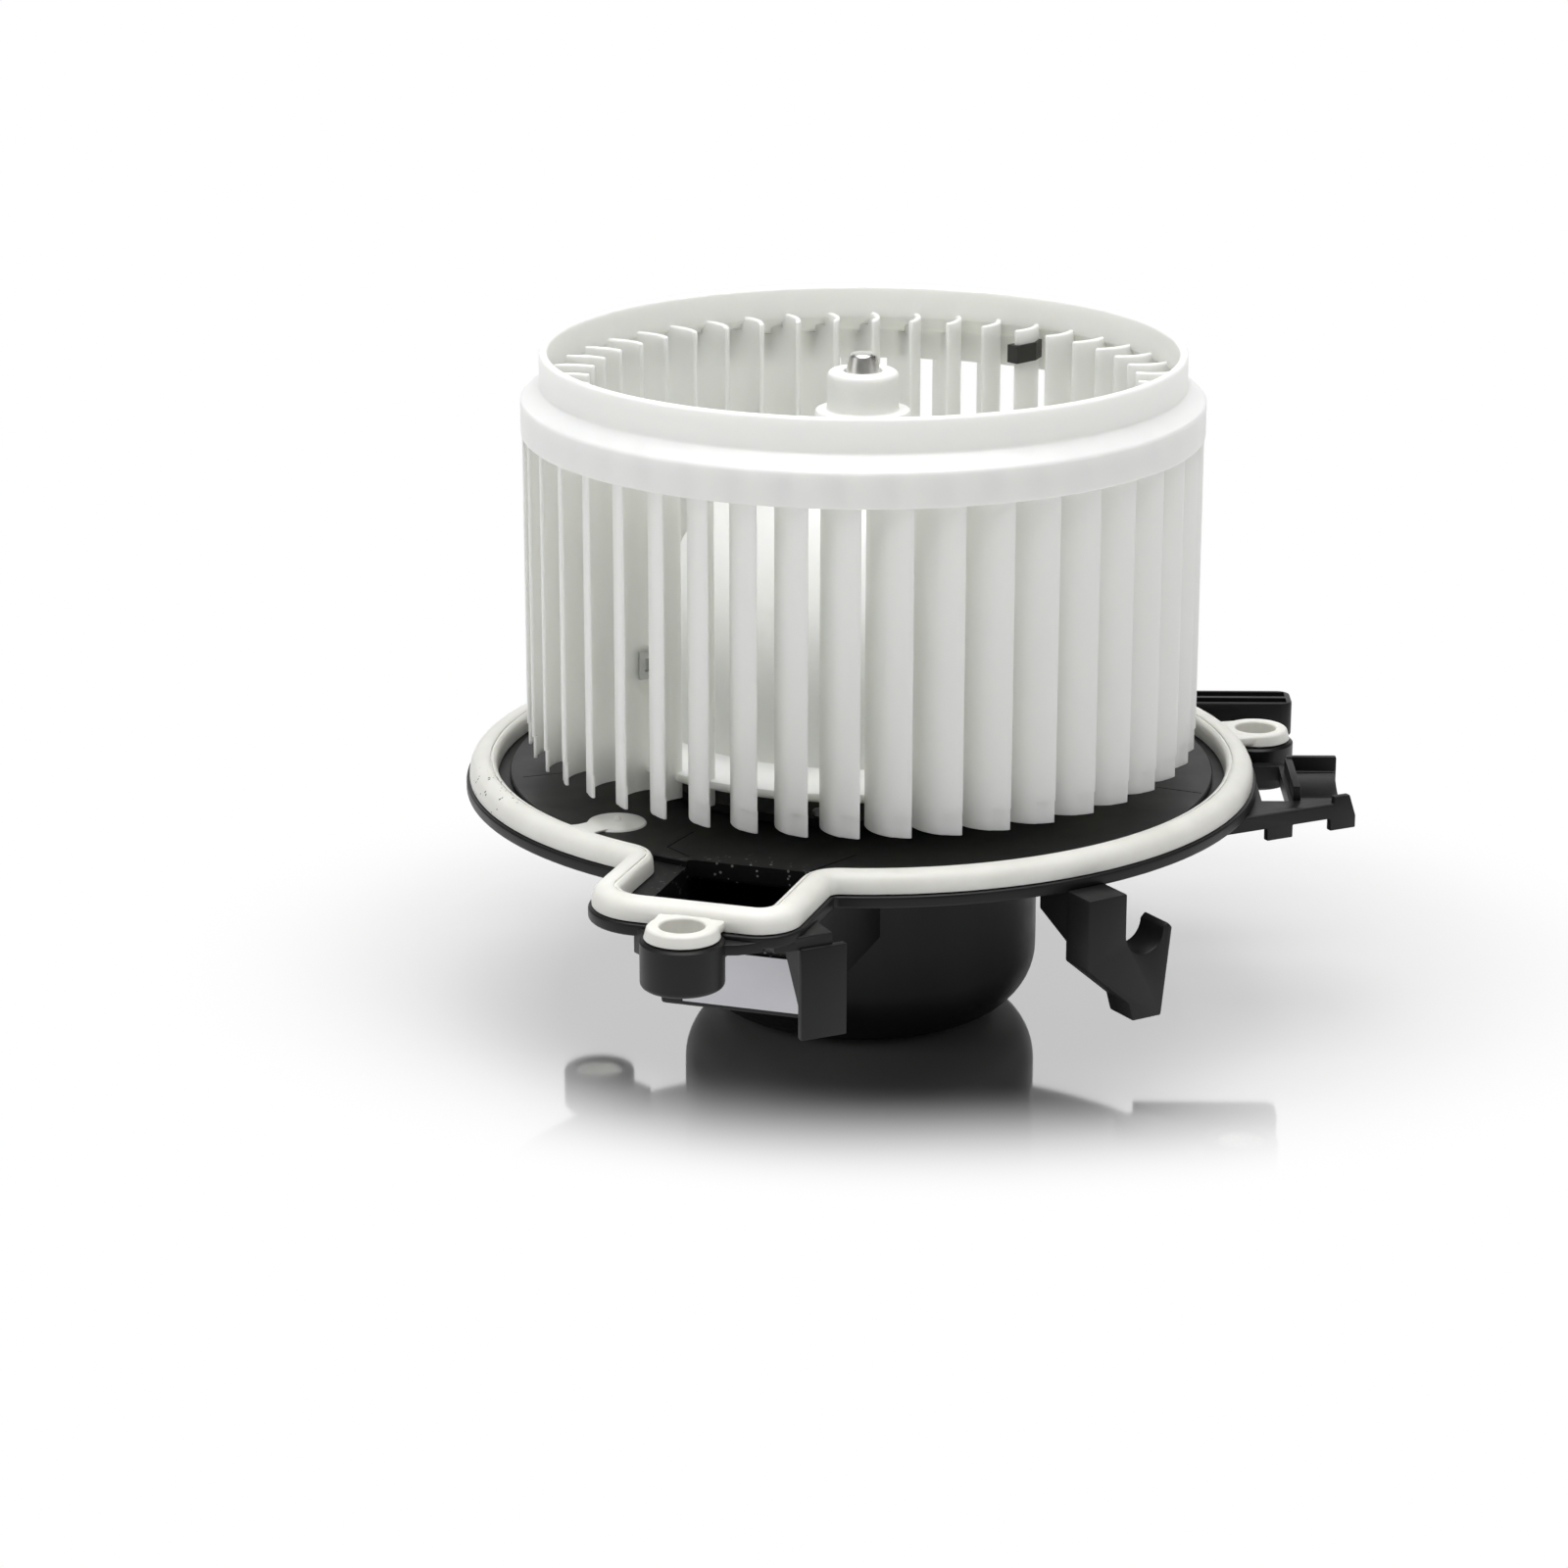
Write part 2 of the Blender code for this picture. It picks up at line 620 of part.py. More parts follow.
def boss_shapes():
    """Each screw boss on its neck, with a bore for the grommet's sleeve."""
    low = RIM_TOP - BOSS_HEIGHT
    top = RIM_TOP - BOSS_STEP
    profile = [
        (0.0, top),
        (BOSS_RADIUS, top),
        (BOSS_RADIUS, low + BOSS_EDGE),
        (BOSS_RADIUS - BOSS_EDGE, low),
        (0.0, low),
    ]
    solids = []
    bores = []
    for number, (centre, angle) in enumerate(boss_places()):
        boss = turned(f"boss_{number}", profile, SMALL_STEPS, closed=False)
        boss.location = (centre.x, centre.y, 0.0)
        boss.rotation_euler.z = math.pi / SMALL_STEPS
        start = (POCKET_FRONT if number == 0 else BEAD_RADIUS) - BEAD_WIDTH / 2
        neck = box_mesh(f"neck_{number}", (start, -BOSS_NECK_WIDTH / 2, low + BOSS_HEIGHT / 3),
                        (centre.length, BOSS_NECK_WIDTH / 2, top - BOSS_STEP))
        solids += [turn_to(neck, angle), boss]
        bores.append(cylinder_mesh(f"boss_bore_{number}", GROMMET_SLEEVE_RADIUS + FIT, low - BOSS_EDGE,
                                   RIM_TOP + BOSS_EDGE, centre=centre))
    return solids, bores


def tab_shapes():
    """A clip plate hung from a small shelf beside the pocket, stiffened by a curved gusset."""
    corner = Vector(TAB_CORNER)
    plate = [(0.0, TAB_BOTTOM), (TAB_WIDTH, TAB_BOTTOM), (TAB_WIDTH, TAB_TOP), (0.0, TAB_TOP)]
    setback = polar(TAB_THICKNESS / 2, TAB_TURN + math.pi / 2)
    shelf_right = corner + polar(TAB_SHELF_RIGHT, TAB_TURN) + setback
    shelf = [
        corner - polar(TAB_SHELF_LEFT, TAB_TURN) + setback,
        shelf_right,
        shelf_right + polar(TAB_SHELF_LEFT, TAB_TURN + math.pi / 2),
        pocket_place(DUCT_FRONT, POCKET_RIGHT),
        pocket_place(POCKET_FRONT - POCKET_RIGHT_CORNER, POCKET_RIGHT - POCKET_RIGHT_CORNER),
    ]
    overlap = TAB_THICKNESS / 2
    top = TAB_TOP + FIT
    gusset = [(overlap, TAB_BOTTOM + TAB_THICKNESS), (overlap, top), (TAB_GUSSET_LENGTH, top)]
    drop = TAB_TOP - TAB_BOTTOM - 2 * TAB_THICKNESS
    for step in range(1, 5):
        angle = math.pi / 2 * step / 5
        along = overlap + (TAB_GUSSET_LENGTH - overlap) * math.cos(angle)
        gusset.append((along, TAB_TOP - TAB_THICKNESS - drop * (1 - math.cos(angle))))
    return [
        outline_mesh("tab_shelf", [shelf], RIM_HEIGHT - TAB_SHELF_THICKNESS,
                     RIM_HEIGHT + RIM_THICKNESS / 2),
        upright_mesh("tab_plate", plate, TAB_THICKNESS, corner, TAB_TURN),
        upright_mesh("tab_gusset", gusset, TAB_THICKNESS, corner + polar(1.5 * TAB_THICKNESS, TAB_TURN),
                     TAB_TURN + math.pi / 2),
    ], []


def hook_shapes():
    """The lead hook: an arm from under the rim and a deep plate with a round notch and a horn."""
    top = RIM_HEIGHT + CLIP_RAISE
    notch_right = HOOK_ARM_WIDTH + 2 * HOOK_NOTCH_RADIUS
    notch_height = RIM_HEIGHT - HOOK_NOTCH_DROP
    tip_height = RIM_HEIGHT - HOOK_ARM_TIP_DEPTH
    foot_left = notch_right - HOOK_FOOT_WIDTH
    plate = [
        (0.0, tip_height),
        (foot_left - HOOK_HORN / 2, HOOK_FOOT + HOOK_FOOT_HEIGHT),
        (foot_left, HOOK_FOOT),
        (notch_right, HOOK_FOOT),
        (notch_right + HOOK_HORN, notch_height),
        (notch_right + HOOK_HORN / 2, notch_height + HOOK_HORN / 2),
    ]
    plate += arc((HOOK_ARM_WIDTH + HOOK_NOTCH_RADIUS, notch_height), HOOK_NOTCH_RADIUS, 0.0, -math.pi, 8)
    plate += [(HOOK_ARM_WIDTH, top), (0.0, top)]
    length = HOOK_ARM_LENGTH - HOOK_DEPTH / 2
    slope = (HOOK_ARM_TIP_DEPTH - HOOK_ARM_ROOT_DEPTH) / HOOK_ARM_LENGTH
    root_height = RIM_HEIGHT - HOOK_ARM_ROOT_DEPTH
    arm_top = RIM_HEIGHT + RIM_THICKNESS / 2
    arm = [(0.0, root_height), (length, root_height - slope * length), (length, arm_top), (0.0, arm_top)]
    root = (Vector(HOOK_CORNER) + polar(HOOK_ARM_LENGTH, HOOK_TURN + math.pi / 2)
            + polar(FIT, HOOK_TURN))
    return [
        upright_mesh("hook_arm", arm, HOOK_ARM_WIDTH - 2 * FIT, root, HOOK_TURN - math.pi / 2),
        upright_mesh("hook_plate", plate, HOOK_DEPTH, HOOK_CORNER, HOOK_TURN),
    ], []


def bracket_shapes():
    """The right bracket: a deck with a window, a trough between walls, and a front wall on legs."""
    corner = Vector(BRACKET_CORNER)
    right = corner + polar(BRACKET_FRONT_LENGTH, BRACKET_TURN)
    inwards = polar(BRACKET_WALL_THICKNESS / 2, BRACKET_TURN + math.pi / 2)
    top = RIM_HEIGHT + CLIP_RAISE
    low = top - BRACKET_THICKNESS
    deck_top = top - FIT
    wall_top = top + BRACKET_WALL_HEIGHT
    outer_x = TROUGH_X[1] + BRACKET_WALL_THICKNESS
    back_y = TROUGH_Y[1] + BRACKET_WALL_THICKNESS
    frame_y = BRACKET_WINDOW_Y[1] + BRACKET_THICKNESS
    rib_x = TROUGH_X[0] - BRACKET_WALL_THICKNESS
    under_seal = BEAD_RADIUS - BEAD_WIDTH / 2
    plan = [
        corner - polar(BRACKET_THICKNESS, BRACKET_TURN) + inwards,
        right + inwards,
        (outer_x - FIT, right.y + BRACKET_THICKNESS),
        (outer_x - FIT, TROUGH_Y[1] + BRACKET_WALL_THICKNESS / 2),
        (BRACKET_WINDOW_X[1], frame_y),
        (under_seal, frame_y),
        (under_seal, corner.y + 2 * BRACKET_THICKNESS),
    ]
    leg_low = low - BRACKET_LEG_LENGTH
    front = [(0.0, low + FIT)]
    for start in BRACKET_LEG_STARTS:
        end = start + BRACKET_LEG_WIDTH
        front += [(start, low + FIT), (start, leg_low), (end, leg_low)]
        front += [(end, low + FIT)] if start == BRACKET_LEG_STARTS[0] else []
    tab_end = BRACKET_LEG_STARTS[-1] + BRACKET_LEG_WIDTH
    front += [
        (tab_end, low + FIT),
        (tab_end - BRACKET_TAB_RISE, top + BRACKET_TAB_RISE),
        (tab_end - BRACKET_TAB_WIDTH, top + BRACKET_TAB_RISE),
        (tab_end - BRACKET_TAB_WIDTH, top),
        (0.0, top),
    ]
    half = (TROUGH_Y[1] - TROUGH_Y[0]) / 2
    radius = (half ** 2 + TROUGH_DEPTH ** 2) / (2 * TROUGH_DEPTH)
    swing = math.asin(half / radius)
    bottom = -math.pi / 2
    trough = arc((0.0, top - TROUGH_DEPTH + radius), radius, bottom - swing, bottom + swing, 8)
    trough += [(half, wall_top + FIT), (-half, wall_top + FIT)]
    trough_start = (TROUGH_X[0], (TROUGH_Y[0] + TROUGH_Y[1]) / 2)
    return [
        outline_mesh("bracket_deck", [plan], low, deck_top),
        upright_mesh("bracket_front", front, BRACKET_WALL_THICKNESS, corner, BRACKET_TURN),
        box_mesh("bracket_rib", (rib_x, right.y + BRACKET_THICKNESS, low + FIT),
                 (TROUGH_X[0], back_y - BRACKET_WALL_THICKNESS / 2, wall_top - FIT)),
        box_mesh("bracket_back_wall", (rib_x + FIT, TROUGH_Y[1] - FIT, low + FIT),
                 (outer_x, back_y, wall_top)),
    ], [
        box_mesh("bracket_window", (BRACKET_WINDOW_X[0], BRACKET_WINDOW_Y[0], leg_low),
                 (BRACKET_WINDOW_X[1], BRACKET_WINDOW_Y[1], wall_top)),
        upright_mesh("bracket_trough", trough, TROUGH_X[1] - TROUGH_X[0] + BRACKET_THICKNESS,
                     trough_start, -math.pi / 2),
    ]


def channel_shapes():
    """The lead channel behind the right boss: a bar with a blunt end, two long slots and a foot."""
    top = DISC_TOP + CLIP_RAISE
    low = top - CHANNEL_HEIGHT
    back = CHANNEL_FRONT + CHANNEL_WIDTH
    rim_edge = BEAD_RADIUS + BEAD_WIDTH / 2 + RIM_MARGIN
    plan = [
        (math.sqrt(rim_edge ** 2 - CHANNEL_FRONT ** 2), CHANNEL_FRONT),
        (CHANNEL_RIGHT - CHANNEL_END_ROUND, CHANNEL_FRONT),
        (CHANNEL_RIGHT, CHANNEL_FRONT + CHANNEL_END_ROUND),
        (CHANNEL_RIGHT, back - CHANNEL_END_ROUND),
        (CHANNEL_RIGHT - CHANNEL_END_ROUND, back),
        (math.sqrt(rim_edge ** 2 - back ** 2), back),
    ]
    foot = box_mesh("channel_foot", (DISC_RADIUS, -CHANNEL_FOOT_WIDTH / 2, low + CLIP_RAISE),
                    (SIDE_BOSS_REACH, CHANNEL_FOOT_WIDTH / 2, RIM_TOP - CLIP_RAISE))
    slot_width = (CHANNEL_WIDTH - 3 * CHANNEL_WALL) / 2
    slots = []
    for number in range(2):
        start = CHANNEL_FRONT + CHANNEL_WALL + number * (slot_width + CHANNEL_WALL)
        slots.append(box_mesh(f"channel_slot_{number}",
                              (plan[0][0] + CHANNEL_WALL, start, top - CHANNEL_SLOT_DEPTH),
                              (CHANNEL_RIGHT - CHANNEL_WALL, start + slot_width, top + CHANNEL_WALL)))
    return [outline_mesh("channel_bar", [plan], low, top), turn_to(foot, CHANNEL_FOOT_ANGLE)], slots


def socket_shapes():
    """The plug socket at the back of the cup, with slots for the two terminals."""
    middle = CARD_TOP + FIT + TERMINAL_THICKNESS / 2
    half = SOCKET_WIDTH / 2
    low = middle - SOCKET_HEIGHT / 2
    high = middle + SOCKET_HEIGHT / 2
    hollow = CUP_RADIUS + SOCKET_BACK
    outside = box_mesh("socket_outside", (-half, CUP_RADIUS / 2, low), (half, SOCKET_REACH, high))
    hollows = [box_mesh("socket_inside", (SOCKET_WALL - half, hollow, low + SOCKET_WALL),
                        (half - SOCKET_WALL, SOCKET_REACH + SOCKET_WALL, high - SOCKET_WALL))]
    reach = TERMINAL_WIDTH / 2 + FIT
    rise = TERMINAL_THICKNESS / 2 + FIT
    for side in (-1, 1):
        centre = side * TERMINAL_SPACING / 2
        hollows.append(box_mesh(f"terminal_slot_{side}", (centre - reach, CUP_RADIUS / 2, middle - rise),
                                (centre + reach, hollow + SOCKET_WALL, middle + rise)))
    return [from_cup_wall(outside)], hollows


def motor_carrier():
    """The one moulding that carries everything: its solids are joined, then its hollows are cut."""
    inner_edge = arc((0.0, 0.0), DISC_RADIUS - RIM_LAP, 0.0, math.tau, CARRIER_STEPS)[:-1]
    rim_edge = bead_route(BEAD_WIDTH / 2 + RIM_MARGIN)
    solids = [outline_mesh("rim", [rim_edge, inner_edge], RIM_HEIGHT, RIM_TOP)]
    hollows = []
    for shapes in (duct_shapes, boss_shapes, tab_shapes, hook_shapes, bracket_shapes, channel_shapes,
                   socket_shapes):
        added, removed = shapes()
        solids += added
        hollows += removed
    for number, centre in enumerate(retainer_screw_places()):
        hollows.append(cylinder_mesh(f"screw_hole_{number}", RETAINER_SCREW_RADIUS + FIT,
                                     RIM_HEIGHT - CUP_WALL, DISC_TOP + CUP_WALL, 8, centre))
    carrier = cup_and_disc()
    unite(carrier, *solids)
    cut(carrier, *hollows)


def bead_section():
    """Half-width offsets and heights of the bead's D-shaped section, from the inside foot over."""
    half = BEAD_WIDTH / 2
    shoulder = BEAD_BASE + BEAD_FOOT
    rise = BEAD_CREST - shoulder
    section = [(-half, BEAD_BASE)]
    for step in range(BEAD_STEPS + 1):
        angle = math.pi - math.pi * step / BEAD_STEPS
        section.append((half * math.cos(angle), shoulder + rise * math.sin(angle)))
    section.append((half, BEAD_BASE))
    return section


def bead_mesh():
    """Sweep the bead's section along its closed route."""
    builder = bmesh.new()
    rings = []
    for offset, height in bead_section():
        rings.append([builder.verts.new((point.x, point.y, height)) for point in bead_at(offset)])
    count = len(rings[0])
    for row, ring in enumerate(rings):
        following = rings[(row + 1) % len(rings)]
        for index in range(count):
            after = (index + 1) % count
            builder.faces.new((ring[index], ring[after], following[after], following[index]))
    bmesh.ops.recalc_face_normals(builder, faces=builder.faces)
    return mesh_from("flange_seal", builder)


def bead_at(offset):
    """Points beside the bead's centreline, one for each of its points."""
    line = bead_route()
    moved = []
    for index, point in enumerate(line):
        before = line[index - 1]
        after = line[(index + 1) % len(line)]
        forward = (after - before).normalized()
        moved.append(point + Vector((forward.y, -forward.x)) * offset)
    return moved


def flange_seal():
    """The soft seal: bead, three grommet rings with their sleeves, and the gate pad with its runner."""
    seal = place("flange_seal", bead_mesh(), SOFT_WHITE)
    sleeve_low = RIM_TOP - BOSS_HEIGHT + BOSS_EDGE
    top = BEAD_BASE + GROMMET_HEIGHT
    profile = [
        (GROMMET_BORE, top),
        (GROMMET_RADIUS - GROMMET_EDGE, top),
        (GROMMET_RADIUS, top - GROMMET_EDGE),
        (GROMMET_RADIUS, BEAD_BASE),
        (GROMMET_SLEEVE_RADIUS, BEAD_BASE),
        (GROMMET_SLEEVE_RADIUS, sleeve_low),
        (GROMMET_BORE, sleeve_low),
    ]
    for number, (centre, _) in enumerate(boss_places()):
        ring = turned(f"grommet_{number}", profile, SMALL_STEPS)
        ring.location = (centre.x, centre.y, 0.0)
        unite(seal, ring)
    base = DISC_TOP + FIT
    neck = math.asin(RUNNER_WIDTH / 2 / PAD_RADIUS)
    outline = arc((PAD_REACH, 0.0), PAD_RADIUS, neck, math.tau - neck, 16)
    outline += [(BEAD_RADIUS, -RUNNER_WIDTH / 2), (BEAD_RADIUS, RUNNER_WIDTH / 2)]
    unite(seal, turn_to(outline_mesh("gate_pad", [outline], base, base + PAD_THICKNESS), PAD_ANGLE))
    nub_place = polar(PAD_REACH, PAD_ANGLE)
    unite(seal, cylinder_mesh("gate_nub", PAD_NUB_RADIUS, base + PAD_THICKNESS / 2,
                              base + 2 * PAD_THICKNESS, 8, nub_place))
    return seal


def label():
    """The bare label on the front of the duct."""
    low = DUCT_BOTTOM + LABEL_RAISE
    front = DUCT_FRONT + FIT
    mesh = box_mesh("label_plate", (front, LABEL_SHIFT - LABEL_WIDTH / 2, low),
                    (front + LABEL_THICKNESS, LABEL_SHIFT + LABEL_WIDTH / 2, low + LABEL_HEIGHT))
    place("label_plate", turn_to(mesh, POCKET_ANGLE), LABEL_WHITE)


def blade_camber():
    """Plan points of one blade's camber from its inner edge outwards.

    It is one arc that starts near radial and ends near tangential, worked out from its two end
    angles and radii.
    """
    start = BLADE_INLET
    swing = BLADE_OUTLET - BLADE_INLET
    direction = Vector((math.sin(BLADE_OUTLET) - math.sin(start), math.cos(start) - math.cos(BLADE_OUTLET)))
    outer = WHEEL_RADIUS - BLADE_SINK
    half_b = BLADE_INNER_RADIUS * direction.x
    square = direction.length_squared
    gap = outer ** 2 - BLADE_INNER_RADIUS ** 2
    radius = (math.sqrt(half_b ** 2 + square * gap) - half_b) / square
    points = []
    for step in range(BLADE_SEGMENTS + 1):
        angle = start + swing * step / BLADE_SEGMENTS
        across = math.cos(start) - math.cos(angle)
        points.append(Vector((BLADE_INNER_RADIUS + radius * (math.sin(angle) - math.sin(start)),
                              radius * across)))
    return points


def blade_turn(number):
    """Angle by which a blade is turned, so that the first one's outer tip is at its place."""
    tip = blade_camber()[-1]
    return FIRST_TIP_ANGLE - math.atan2(tip.y, tip.x) + math.tau * number / BLADE_COUNT


def blade_cage():
    """All the blades as upright curved strips, thickened."""
    builder = bmesh.new()
    ring_inside = COLLAR_RADIUS - RING_WALL / 2
    for number in range(BLADE_COUNT):
        spin = Matrix.Rotation(blade_turn(number), 2)
        lower = []
        upper = []
        for point in blade_camber():
            top = BLADE_TOP if point.length < ring_inside else BAND_TOP - RING_WALL / 2
            spun = spin @ point
            lower.append(builder.verts.new((spun.x, spun.y, BLADE_FOOT)))
            upper.append(builder.verts.new((spun.x, spun.y, top)))
        for index in range(len(lower) - 1):
            builder.faces.new((lower[index], lower[index + 1], upper[index + 1], upper[index]))
    mesh = mesh_from("blower_wheel", builder)
    cage = place("blower_wheel", mesh, WHITE_PLASTIC)
    wall = cage.modifiers.new("blade_wall", "SOLIDIFY")
    wall.thickness = BLADE_THICKNESS
    wall.offset = 0.0
    wall.use_even_offset = True
    return cage


def ring_profile():
    """Section of the stepped top ring: wide lower band, sloping shoulder and narrower collar."""
    inner_band = WHEEL_RADIUS - RING_WALL
    inner_collar = COLLAR_RADIUS - RING_WALL
    return [
        (inner_collar, COLLAR_TOP),
        (COLLAR_RADIUS - LIP_ROUND, COLLAR_TOP),
        (COLLAR_RADIUS, COLLAR_TOP - LIP_ROUND),
        (COLLAR_RADIUS, COLLAR_FOOT),
        (WHEEL_RADIUS, BAND_TOP),
        (WHEEL_RADIUS, BAND_BOTTOM),
        (inner_band, BAND_BOTTOM),
        (inner_band, BAND_TOP - RING_WALL),
        (inner_collar, COLLAR_FOOT - RING_WALL),
    ]


def dome_arc(radius, rise, base, inner_edge, steps):
    """Quarter of an ellipse from near the hub down to the dome's foot."""
    first = math.acos(inner_edge / radius)
    points = []
    for step in range(steps + 1):
        angle = first * (1 - step / steps)
        points.append((radius * math.cos(angle), base + rise * math.sin(angle)))
    return points


def hub_profile():
    """Section of the hub: bored boss, collar, bell-shaped dome and the flat plate at its foot."""
    rise = (DOME_TOP - PLATE_TOP) / math.sin(math.acos(HUB_COLLAR_RADIUS / DOME_RADIUS))
    skirt = HUB_TOP - HUB_SKIRT
    boss_foot = HUB_TOP - HUB_BOSS_HEIGHT
    profile = [(BORE_RADIUS, HUB_TOP), (HUB_RADIUS, HUB_TOP), (HUB_RADIUS, boss_foot)]
    profile += [(HUB_COLLAR_RADIUS, boss_foot)]
    profile += dome_arc(DOME_RADIUS, rise, PLATE_TOP, HUB_COLLAR_RADIUS, 8)
    profile += [(PLATE_RADIUS, PLATE_TOP), (PLATE_RADIUS, PLATE_BOTTOM)]
    profile += reversed(dome_arc(DOME_RADIUS - DOME_WALL, rise, PLATE_BOTTOM, HUB_RADIUS, 4))
    profile += [(HUB_RADIUS, skirt), (BORE_RADIUS, skirt)]
    return profile


def blower_wheel():
    """The wheel: forward-curved blades between the plate at the dome's foot and the top ring."""
    wheel = blade_cage()
    unite(wheel, turned("wheel_ring", ring_profile(), WHEEL_STEPS))
    unite(wheel, turned("wheel_hub", hub_profile(), HUB_STEPS))
    return wheel


def blade_start(length):
    """The first stretch of the blade's camber, with the given length."""
    camber = blade_camber()
    line = [camber[0]]
    for point in camber[1:]:
        step = point - line[-1]
        if step.length >= length:
            line.append(line[-1] + step.normalized() * length)
            break
        length -= step.length
        line.append(point)
    return line


def clip_outline(length):
    """Plan outline of a clip that is folded over a blade's inner edge and follows its curve."""
    line = blade_start(length)
    inner_gap = BLADE_THICKNESS / 2 + FIT
    outer_gap = inner_gap + CLIP_THICKNESS
    sides = {}
    for gap in (inner_gap, outer_gap):
        left = []
        right = []
        for index, point in enumerate(line):
            before = line[max(index - 1, 0)]
            after = line[min(index + 1, len(line) - 1)]
            forward = (after - before).normalized()
            normal = Vector((-forward.y, forward.x))
            left.append(point + normal * gap)
            right.append(point - normal * gap)
        sides[gap] = (left, right)
    start = (line[1] - line[0]).normalized()
    outer_left, outer_right = sides[outer_gap]
    inner_left, inner_right = sides[inner_gap]
    outline = list(reversed(outer_left))
    outline += [outer_left[0] - start * outer_gap, outer_right[0] - start * outer_gap]
    outline += outer_right
    outline += list(reversed(inner_right))
    outline += [inner_right[0] - start * FIT, inner_left[0] - start * FIT]
    outline += inner_left
    return outline


def balance_clip(name, blade, length, low, height, finish):
    """One balance clip on the inner edge of a blade."""
    spin = Matrix.Rotation(blade_turn(blade), 2)
    outline = [spin @ point for point in clip_outline(length)]
    mesh = outline_mesh(name, [[(point.x, point.y) for point in outline]], low, low + height)
    return place(name, mesh, finish)


def balance_clips():
    """The dark clip near the top of one blade, and the steel one with a window low on another."""
    balance_clip("balance_clip_dark", DARK_CLIP_BLADE, DARK_CLIP_LENGTH,
                 BAND_TOP + DARK_CLIP_ABOVE_BAND - DARK_CLIP_HEIGHT, DARK_CLIP_HEIGHT, DARK_STEEL)
    steel = balance_clip("balance_clip_steel", STEEL_CLIP_BLADE, STEEL_CLIP_LENGTH,
                         STEEL_CLIP_FOOT, STEEL_CLIP_HEIGHT, ZINC_STEEL)
    length, height = STEEL_CLIP_WINDOW
    reach = BLADE_INNER_RADIUS + STEEL_CLIP_LENGTH / 2
    middle = STEEL_CLIP_FOOT + STEEL_CLIP_HEIGHT / 2
    window = box_mesh("clip_window",
                      (reach - length / 2, -STEEL_CLIP_LENGTH, middle - height / 2),
                      (reach + length / 2, STEEL_CLIP_LENGTH, middle + height / 2))
    cut(steel, turn_to(window, blade_turn(STEEL_CLIP_BLADE)))


def motor_shaft():
    """The shaft, with a tapered and domed tip above the hub."""
    taper_foot = SHAFT_TOP - SHAFT_TAPER
    profile = [
        (0.0, SHAFT_TOP),
        (SHAFT_TIP_RADIUS / 2, SHAFT_TOP - SHAFT_TIP_DOME / 6),
        (SHAFT_TIP_RADIUS, SHAFT_TOP - SHAFT_TIP_DOME),
        (SHAFT_RADIUS, taper_foot),
        (SHAFT_RADIUS, LOWER_BEARING + FIT),
        (0.0, LOWER_BEARING + FIT),
    ]
    turned("motor_shaft", profile, SMALL_STEPS, BRIGHT_STEEL, closed=False)


def yoke_cutters():
    """Vents in the closed end, the terminals' slot and the intake that faces the duct."""
    cutters = []
    near, far = YOKE_VENT_RADII
    for number in range(YOKE_VENT_COUNT):
        vent = box_mesh(f"yoke_vent_{number}", (near, -YOKE_VENT_WIDTH / 2, YOKE_TOP - 2 * YOKE_WALL),
                        (far, YOKE_VENT_WIDTH / 2, YOKE_TOP + YOKE_WALL))
        cutters.append(turn_to(vent, math.pi / 4 + number * math.tau / YOKE_VENT_COUNT))
    half = (TERMINAL_SPACING + TERMINAL_WIDTH) / 2 + YOKE_SLOT_MARGIN
    low = CARD_TOP + FIT - YOKE_SLOT_MARGIN
    high = CARD_TOP + FIT + TERMINAL_THICKNESS + YOKE_SLOT_MARGIN
    behind = YOKE_INSIDE - 2 * YOKE_WALL
    cutters.append(box_mesh("yoke_terminal_slot", (-half, behind, low),
                            (half, YOKE_RADIUS + YOKE_WALL, high)))
    width, height = YOKE_INTAKE_SIZE
    low = CARD_TOP + YOKE_INTAKE_ABOVE_CARD
    intake = box_mesh("yoke_intake", (behind, -width / 2, low),
                      (YOKE_RADIUS + YOKE_WALL, width / 2, low + height))
    cutters.append(turn_to(intake, POCKET_ANGLE))
    return cutters


def motor_yoke():
    """The drawn steel can with its closed end and bearing pocket at the top."""
    pocket_top = UPPER_BEARING + BEARING_HEIGHT + FIT
    corner = (YOKE_RADIUS - YOKE_CORNER, YOKE_TOP - YOKE_CORNER)
    profile = [
        (BORE_RADIUS + FIT, pocket_top + YOKE_WALL),
        (BEARING_CUP_RADIUS, pocket_top + YOKE_WALL),
        (BEARING_CUP_RADIUS, YOKE_TOP),
    ]
    profile += corner_arc(corner, YOKE_CORNER, math.pi / 2, 0.0, 2)
    profile += [(YOKE_RADIUS, YOKE_BOTTOM), (YOKE_INSIDE, YOKE_BOTTOM)]
    profile += corner_arc(corner, YOKE_CORNER - YOKE_WALL, 0.0, math.pi / 2, 1)
    profile += [
        (BEARING_SEAT, UPPER_BEARING),
        (BEARING_SEAT, pocket_top),
        (BORE_RADIUS + FIT, pocket_top),
    ]
    cut(turned("motor_yoke", profile, MOTOR_STEPS, ZINC_STEEL), *yoke_cutters())


